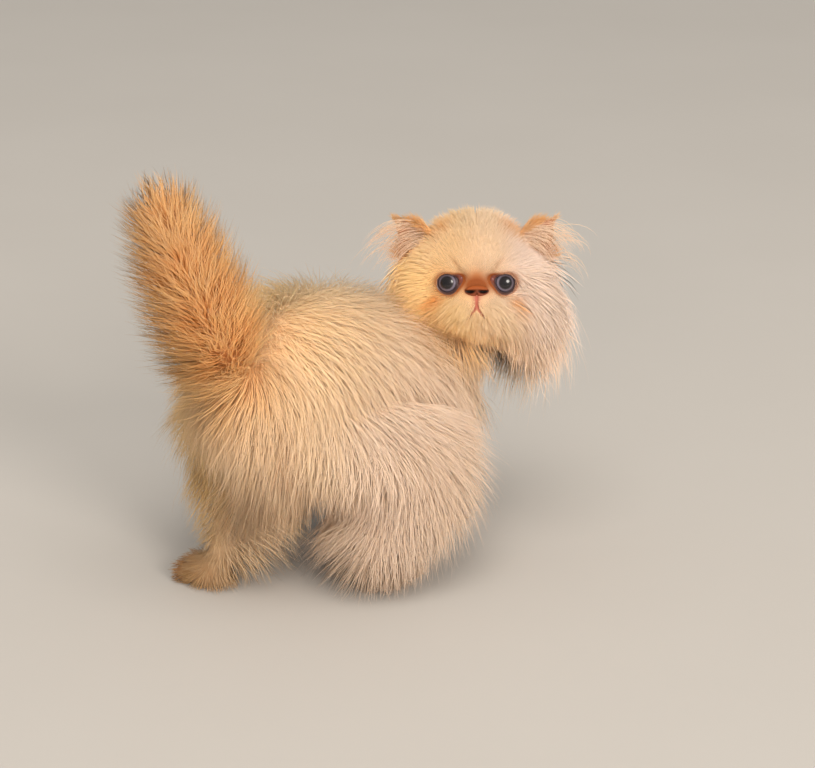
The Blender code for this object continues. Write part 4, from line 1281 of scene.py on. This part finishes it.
def eye_material():
    """Iris by its distance from the pupil, with pale fibres, paler by the nose, under a wet clear layer. The
    white's dark tone and the ball's darker side away from the nose are painted shade of the lids.
    """
    material, tree, shader = new_material(
        "eye", Coat_Weight=1.0, Coat_Roughness=0.02, Coat_IOR=1.34, Specular_IOR_Level=0.25
    )
    off, turn_x, turn_y = channels(tree, attribute(tree, "iris"))
    fibre_place = tree.nodes.new("ShaderNodeCombineXYZ")
    feed(tree, fibre_place.inputs, (turn_x, turn_y, sum_of(tree, "MULTIPLY", off, 0.25)))
    fibre = node(tree, "ShaderNodeTexNoise", Scale=26.0, Detail=3.0, Roughness=0.6)
    link(tree, fibre_place.outputs[0], fibre.inputs["Vector"])
    fibre = fibre.outputs["Fac"]
    wobble = sum_of(tree, "MULTIPLY", sum_of(tree, "SUBTRACT", fibre, 0.5), 0.05)
    base = ramp(tree, sum_of(tree, "ADD", off, wobble), IRIS)
    # painted shade of the lids: the ball darker on its side away from the nose
    away = mixed(tree, 1.0, base, (0.50, 0.46, 0.46, 1), "MULTIPLY")
    base = mixed(tree, sum_of(tree, "MULTIPLY_ADD", turn_x, 0.5, 0.5), away, base)
    colour = mixed(tree, sum_of(tree, "MULTIPLY", fibre, 0.35), base, (0.42, 0.38, 0.43, 1), "SOFT_LIGHT")
    finish(tree, shader, colour, fibre, 0.1, 0.2)
    return material


def wet_rim_material():
    """Dark red-brown rims of the lids, a little wet, redder towards the nose."""
    material, tree, shader = new_material(
        "lid_rim", Coat_Weight=0.5, Coat_Roughness=0.15, Specular_IOR_Level=0.5
    )
    red = channels(tree, attribute(tree, "strand"))[0]
    speckle = noise(tree, 700.0, 2.0, 0.6)
    dark = mixed(tree, speckle, (0.05, 0.022, 0.016, 1), (0.12, 0.05, 0.035, 1))
    finish(tree, shader, mixed(tree, red, dark, (0.16, 0.035, 0.02, 1)), speckle, 0.2, 0.3)
    bumps(tree, shader, speckle, 0.3, 0.0001)
    return material


def nose_material():
    """Pebbled nose leather: red-brown, orange at its upper edge and dark into the nostrils and the cleft, as
    painted shade of their depth.
    """
    material, tree, shader = new_material(
        "nose_leather", Coat_Weight=0.08, Coat_Roughness=0.3, Specular_IOR_Level=0.25
    )
    deep, upper, _ = channels(tree, attribute(tree, "strand"))
    tint = noise(tree, 350.0, 3.0, 0.6)
    leather = mixed(tree, tint, (0.27, 0.06, 0.018, 1), (0.14, 0.03, 0.012, 1))
    leather = mixed(tree, upper, leather, (0.30, 0.07, 0.012, 1))
    # painted shade: near black into the nostrils and the cleft
    finish(tree, shader, mixed(tree, deep, leather, (0.010, 0.004, 0.003, 1)), tint, 0.2, 0.38)
    bumps(tree, shader, texture(tree, "ShaderNodeTexVoronoi", "Distance", Scale=1700.0), 0.4, 0.0002)
    return material


def floor_material():
    """Plain, pale and matt, with a faint drift of tone."""
    material, tree, shader = new_material("pale_floor", Specular_IOR_Level=0.2, Roughness=0.7)
    grain = noise(tree, 6.0, 4.0, 0.5)
    colour = mixed(tree, grain, (0.51, 0.48, 0.44, 1), (0.54, 0.51, 0.47, 1))
    link(tree, colour, shader.inputs["Base Color"])
    return material


# Eyes, lids and nose.


def eyeball(side, material):
    """A ball with the clear front bulged a little over the iris. Its pole looks along the gaze."""
    middle = on_head(mirrored(EYE_AT, side))
    gaze = unit(unit(CAMERA_AT - middle) + mirrored((0.10, 0.0, -0.02), side) @ HEAD_AXES)
    sideways = unit(np.cross(UP, gaze))
    axes = np.array((sideways, np.cross(gaze, sideways), gaze))
    tilt = np.concatenate([np.linspace(0.02, 0.72, 40), np.linspace(0.76, math.pi - 0.08, 24)])[:, None]
    turn = turns(72)[None]
    reach = EYE_RADIUS * (1 + 0.045 * smooth_step(0.62, 0.30, tilt) * np.cos(tilt))
    rings = middle + (round_ways(tilt, turn) * reach[..., None]) @ axes
    points, faces = capped(rings, middle + gaze * reach[0], middle - gaze * EYE_RADIUS)
    obj = make_piece(side + "_eyeball", points, faces, material, [side + "_eye"])
    towards = np.cos(turn) * (-1 if side == "left" else 1)
    iris = np.stack(np.broadcast_arrays(tilt / 1.1, towards, np.sin(turn), 1.0), -1)
    write_colour(obj.data, "iris", np.concatenate([iris.reshape(-1, 4), [(0, 0, 0, 1), (1, 0, 0, 1)]]))


def lid_rim(side, material, stations=144, sides=14):
    """The bare edge of the lids: a closed band from the skin's edge down to the eyeball, wider by the nose.

    Round the opening its section is an ellipse whose long axis joins the skin's edge to the ball.
    """
    turn = turns(stations)
    corner = np.maximum(np.cos(turn - EYE_CORNER), 0) ** 9
    edge = eye_edge(turn)

    def around_eye(away):
        return EYE_OPENS[0] + away * np.cos(turn), EYE_OPENS[1] + away * np.sin(turn)

    left, up = around_eye(edge + 0.30)
    skin_front = face_front(left, up) - 0.25
    outer = np.stack([left, skin_front, up], -1)
    left, up = around_eye(edge - 0.55 - 1.3 * corner)
    off = np.hypot(left - EYE_AT[0], up - EYE_AT[2])
    ball_front = EYE_AT[1] + np.sqrt(np.maximum((EYE_RADIUS + 0.12) ** 2 - off**2, 0))
    inner = np.stack([left, np.minimum(ball_front + 1.2 * corner, skin_front), up], -1)
    middle, reach = (outer + inner) / 2, (outer - inner) / 2 * 1.12
    along = unit(np.roll(middle, -1, 0) - np.roll(middle, 1, 0))
    thick = unit(np.cross(along, reach)) * (0.30 + 0.25 * corner)[:, None]
    around = turns(sides)[None, :, None]
    rings = middle[:, None] + reach[:, None] * np.cos(around) + thick[:, None] * np.sin(around)
    points = on_head(mirrored(rings.reshape(-1, 3), side))
    faces = facing_out(points, band_faces(stations, sides, closed=True))
    obj = make_piece(side + "_lid_rim", points, faces, material)
    red = np.zeros((len(points), 4))
    red[:, 0], red[:, 3] = np.repeat(corner, sides), 1
    write_colour(obj.data, "strand", red)


def nose(material):
    """A rounded triangle of bare leather, domed forward, with curved nostrils and a cleft pressed in."""
    front = float(face_front(np.array(0.0), np.array(NOSE_HIGH))) + 1.0
    tilt = np.concatenate([np.linspace(0.04, 1.9, 70), np.linspace(2.0, 3.05, 10)])[:, None]
    turn = turns(120)[None]
    wide = 6.3 - np.where(np.sin(turn) > 0, 1.2, 2.9) * np.sin(turn) ** 2
    reach = 1 / np.sqrt((np.cos(turn) / wide) ** 2 + (np.sin(turn) / 2.9) ** 2)
    left, up = reach * np.sin(tilt) * np.cos(turn), reach * np.sin(tilt) * np.sin(turn)
    forward = 1.5 * np.cos(tilt) + 0 * turn
    off = np.abs(left) - 3.5
    slit = np.exp(-0.5 * ((off / 1.9) ** 2 + ((up + 0.35 - 0.07 * off**2) / 0.62) ** 2)) * (tilt < 1.7)
    cleft = bell(left, 0.4) * smooth_step(0.2, -1.4, up) * (tilt < 1.7)
    wing = np.exp(-0.5 * (((np.abs(left) - 4.8) / 1.2) ** 2 + ((up - 0.9) / 1.1) ** 2))
    forward = forward + 0.45 * wing - 2.0 * slit - 0.8 * cleft
    shape = np.stack([left, forward + front, up + NOSE_HIGH], -1)
    points, faces = capped(shape, (0, shape[0, :, 1].mean(), NOSE_HIGH), (0, front - 2.0, NOSE_HIGH))
    points = on_head(points)
    faces = facing_out(points, faces)
    obj = make_piece("nose_leather_piece", points, faces, material, ["nose"])
    dark = np.zeros((len(points), 4))
    # painted shade: the nostrils' slits and the cleft darker, as their depth
    dark[:-2, 0] = np.clip(slit * 1.7 + cleft * 0.5, 0, 1).ravel()
    dark[:-2, 1] = (0.85 * smooth_step(0.0, 1.5, up)).ravel()
    dark[:, 3] = 1
    write_colour(obj.data, "strand", dark)


def ear_feathers(side, count, material, options):
    """Long hair from the inner edge and floor of the ear's cup. It crosses the opening and droops.

    At its root it goes out of the cup, outward and up the ear. At its tip it goes outward and down, less so
    higher up.
    """
    draw = np.random.default_rng(options["seed"] + 500)
    up = draw.beta(1.2, 1.5, count) * 0.75 - 0.05
    by_edge = draw.uniform(0, 1, count) < 0.72
    across = np.where(by_edge, draw.uniform(0.2, 0.95, count), draw.uniform(-0.98, 0.2, count))
    root = ear_sheet(up, across, np.full(count, EAR_WALL / 2))
    _, tall, opens, sideways = ear_frame()
    out = np.broadcast_to(unit(opens + 0.15 * tall), (count, 3))
    rise = (0.4 * up + draw.normal(0, 0.10, count))[:, None]
    level = unit(sideways * np.sign(sideways[0]) + (0, 0, 0.57))
    drop = np.array((0, 0, -1.0)) * (1.6 - 0.9 * up)[:, None]
    first = unit(out * 0.5 + level * 0.95 + tall * (0.25 + rise))
    last = unit(out * 0.1 + level * (0.4 + 0.35 * up)[:, None] + drop + tall * rise * 0.3)
    out, first, last = (mirrored(way, side) @ HEAD_AXES for way in (out, first, last))
    length = np.interp(up, (0, 0.5, 1), (40, 36, 16)) * draw.uniform(0.55, 1.05, count)
    marks = np.zeros((count, 3))
    marks[:, 1] = 0.5 * smooth_step(0.5, 1.0, up)
    pale = np.full(count, 0.4)
    chart = np.stack([0.25 + 0.2 * across + 0.5, np.clip(up, 0, 1)], -1) * 0.98 + 0.01
    width = 0.22 * draw.uniform(0.7, 1.25, count)
    name, root = "ear_feathers_" + side, on_head(mirrored(root, side))
    grow_tufts(name, root, out, first, last, length, width, marks, pale, chart, material, options)


# The floor, the light and the camera.
FLOOR_HALF = 14.0  # metres
FLOOR_DROP = 0.05  # millimetres below the soles, so that the two don't share a plane
LIGHTS_TO = np.array((-20.0, -20.0, 100.0))
LIGHTS = [
    ("key", (-3100.0, 2000.0, 1700.0), 90.0, 1.3, (1.0, 0.93, 0.85)),
    ("top", (-700.0, 1200.0, 3600.0), 68.0, 3.0, (1.0, 0.96, 0.91)),
    ("fill", (-1500.0, 3200.0, 1000.0), 56.0, 2.6, (1.0, 0.92, 0.84)),
]  # name, place, watts, width in metres and colour
ROOM_COLOUR, ROOM_STRENGTH = (1.0, 0.97, 0.93, 1), 0.52


def aimed(name, data, at, to):
    """A light or a camera at one place, looking at another."""
    obj = new_object(name, data)
    obj.location = (np.array(at) + SHIFT) * MM
    obj.rotation_mode = "QUATERNION"
    obj.rotation_quaternion = Vector(at - to).to_track_quat("Z", "Y")
    return obj


def studio():
    """A pale floor that the kitten stands on, soft lights and the camera."""
    points = np.array([(-1, -1, 0), (1, -1, 0), (1, 1, 0), (-1, 1, 0)], float) * FLOOR_HALF / MM - SHIFT
    points[:, 2] = -FLOOR_DROP
    data = make_mesh("floor", points, np.array([(0, 1, 2), (0, 2, 3)]))
    data.materials.append(floor_material())
    floor = new_object("floor", data)
    world = bpy.data.worlds.new("studio")
    bpy.context.scene.world = world
    world.use_nodes = True
    background = world.node_tree.nodes["Background"].inputs
    background["Color"].default_value, background["Strength"].default_value = ROOM_COLOUR, ROOM_STRENGTH
    for name, at, power, wide, colour in LIGHTS:
        light = bpy.data.lights.new(name, "AREA")
        light.shape, light.size, light.energy, light.color = "DISK", wide, power, colour
        aimed(name, light, at, LIGHTS_TO).visible_glossy = name == "key"
    camera = bpy.data.cameras.new("camera")
    camera.lens, camera.sensor_width = CAMERA_LENS, 36.0
    camera.clip_start, camera.clip_end = 0.05, 30.0
    bpy.context.scene.camera = aimed("camera", camera, CAMERA_AT, CAMERA_TO)
    bpy.context.scene.view_settings.view_transform = "Standard"


# Where each piece of coat grows, and where it is thicker.


def front_of_head(points):
    """The face: what is more than 8 mm to the front, and a little more than that at the sides."""
    local = in_head(points)
    return local[:, 1] > 8 + 0.1 * np.abs(local[:, 0])


def by_nose(points):
    """Within 19 mm of the nose, counting depth as 0.6."""
    local = in_head(points)
    return np.hypot(np.hypot(local[:, 0], local[:, 2] + 6), 0.6 * (local[:, 1] - 28)) < 19


def muzzle(points):
    return front_of_head(points) & by_nose(points)


def face(points):
    return front_of_head(points) & ~by_nose(points)


def crown_and_cheeks(points):
    return ~front_of_head(points)


def ruff(points):
    """Below the left cheek and behind the face."""
    local = in_head(points)
    return (local[:, 0] > 2) & (local[:, 2] < -6) & (local[:, 1] < 20)


def whisker_pads(points):
    local = in_head(points)
    return near(np.stack([np.abs(local[:, 0]), local[:, 1], local[:, 2]], -1), (9, 26, -14), (6, 9, 4)) > 0.35


def upper_torso(points):
    return points[:, 2] > 100


def lower_torso(points):
    return ~upper_torso(points)


def thick_by_nose(points):
    """Up to 3.5 times as thick in the middle of the face."""
    local = in_head(points)
    return 1 + 2.5 * smooth_step(26, 8, np.hypot(local[:, 0], local[:, 2] + 8))


def thick_ear_edges(points):
    """Thicker on the ears' rims, the inner one most, and at their tips."""
    right, left = (ear_places(points, side) for side in ("right", "left"))
    up, across, _, _ = np.where(right[:, 3:] < left[:, 3:], right, left).T
    edge = 4 * smooth_step(0.6, 1.0, across) + smooth_step(-0.6, -1.0, across)
    return 1 + edge + 4 * smooth_step(0.6, 0.95, up)


def thick_whorls(points):
    """Thicker on the rump and the hip, where the hair parts and would show the skin, and on the breech."""
    whorl = 1.2 * near(points, (6, 46, 120), 16) + 0.8 * near(points, (-40, 4, 105), 18)
    return 1 + whorl + 3.5 * near(points, *BREECH)


# How tufts are made. Stations are the rings of a tuft, gather the tufts to a leading one, waves and curl the
# swings along it and their size, loose the share that isn't gathered, clump how far the rest is, stray the
# spread of the lie. Shortest and longer multiply the length, dim darkens as painted shade, or lightens as
# painted light where it is below 0, lift and blend lean the normals.
SOFT = dict(stations=3, gather=36, waves=0.45, curl=0.35, loose=0.3, clump=0.05, stray=0.22)
SLEEK = dict(
    stations=3, gather=9, waves=0.5, curl=0.25, loose=0.3, clump=0.12, stray=0.12, shortest=0.7, lift=0.8
)
WISPY = SOFT | dict(stations=4, waves=0.9, gather=16, clump=0.5, curl=1.8)
# the tail's dim is painted shade, the tail lying on the side away from the key light
FLAME = WISPY | dict(gather=22, clump=0.4, curl=1.6, dim=1.6)
# the hanging ruff's dim below 0 is painted light in the shade under the head
HANGING = WISPY | dict(
    stations=5, gather=24, clump=0.6, loose=0.25, longer=1.2, shortest=0.45, dim=-1.5, lift=1.0
)
BRISTLY = SLEEK | dict(stations=4, gather=12, clump=0.5, curl=0.8, longer=1.7, dim=-0.6)
FLYAWAY = WISPY | dict(stations=5, gather=5, loose=0.5, curl=2.6, longer=1.16, shortest=0.8)
CHEEKY = SOFT | dict(clump=0.45, gather=18, shortest=0.4, lift=0.8)
HOCK = WISPY | dict(clump=0.32)
# the feathers' dim below 0 is painted light in the ear's shade
FEATHER = dict(stations=6, gather=8, waves=0.4, curl=1.0, loose=0.2, clump=0.7, blend=0.5, dim=-1.0)

FORE_LEGS = ["right_fore_leg", "left_fore_leg"]
EARS = ["right_ear", "left_ear"]
SHAGGY = ["torso", "neck", "right_hind_leg", "left_hind_leg"]
# Piece, slot, regions, tufts, width in millimetres, how it is made, where it grows and where it is thicker.
COATS = [
    # the muzzle's dim below 0 is painted light, as it faces down out of the light
    ("coat_muzzle", "face_coat", ["head"], 8200, 0.22, SLEEK | dict(dim=-0.8), muzzle, thick_by_nose),
    ("coat_face", "face_coat", ["head"], 8200, 0.26, SLEEK, face, None),
    ("coat_head", "cream_coat", ["head"], 7700, 0.28, CHEEKY, crown_and_cheeks, None),
    ("coat_ruff", "pale_coat", ["head"], 2200, 0.26, HANGING, ruff, None),
    ("coat_pads", "face_coat", ["head"], 700, 0.2, BRISTLY, whisker_pads, None),
    ("coat_neck", "cream_coat", ["neck"], 2500, 0.34, WISPY, None, None),
    ("coat_back", "cream_coat", ["torso"], 11800, 0.28, SOFT, upper_torso, thick_whorls),
    ("coat_sides", "cream_coat", ["torso"], 9000, 0.28, SOFT, lower_torso, thick_whorls),
    ("coat_tail", "orange_coat", ["tail"], 7400, 0.28, FLAME, None, None),
    ("coat_right_thigh", "cream_coat", ["right_hind_leg"], 12000, 0.28, SOFT, None, thick_whorls),
    ("coat_left_thigh", "cream_coat", ["left_hind_leg"], 4800, 0.32, HOCK, None, thick_whorls),
    ("coat_fore_legs", "cream_coat", FORE_LEGS, 1900, 0.5, SOFT, None, None),
    ("coat_paws", "orange_coat", list(PAWS), 3200, 0.34, SLEEK, None, None),
    ("coat_ears", "orange_coat", EARS, 3400, 0.28, SLEEK | dict(blend=0.0), None, thick_ear_edges),
    ("coat_wisps", "cream_coat", SHAGGY, 1500, 0.18, FLYAWAY, None, None),
]
FEATHERS = 140  # tufts in each ear


def dressed_skin(group):
    """The skin as a piece, with the marks that its material reads, and painted shade: darker under the face's
    short hair, and by place as the coat is.
    """
    data = build_skin()
    data.materials.append(skin_material(group))
    body = new_object("skin", data)
    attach(body, "root")
    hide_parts("head", "neck", "torso", "tail", "left_ear", "right_ear", *PAWS)
    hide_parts("right_hind_leg", "left_hind_leg", "right_fore_leg", "left_fore_leg")
    skin = Skin(data)
    marks = markings(skin.points, skin.found)
    left, front, up = skin.found["local"].T
    middle_face = weight_of(skin.found, "head") * (1 - smooth_step(16, 34, np.hypot(left, up)))
    # painted shade: the middle of the face darker under its short hair, and the coat's painted shade by place
    tone = 0.6 - 2.4 * (middle_face * smooth_step(0, 12, front)) - painted_shade(skin.points, skin.found)
    nought, one = np.zeros(len(marks)), np.ones(len(marks))
    write_colour(data, "marks", np.stack([*marks[:, :3].T, one], -1))
    write_colour(data, "strand", np.stack([tone, 0.6 * one, marks[:, 4], one], -1))
    write_colour(data, "bare", np.stack([marks[:, 3], marks[:, 5], nought, one], -1))
    return skin


def main():
    group = coat_tone_group()
    fur = coat_material(group)
    skin = dressed_skin(group)
    share = 1.0
    wider = 1.0 / share**0.5
    for order, (name, slot, regions, count, width, made, where, density) in enumerate(COATS):
        made = made | dict(seed=order * 7 + 3)
        coat(skin, name, regions, int(count * share), width * wider, fur, made, where, density)
    for order, side in enumerate(("left", "right")):
        ear_feathers(side, int(FEATHERS * share), fur, FEATHER | dict(seed=90 + order))

    eyes, rims = eye_material(), wet_rim_material()
    for side in ("left", "right"):
        eyeball(side, eyes)
        lid_rim(side, rims)
    nose(nose_material())
    studio()


main()
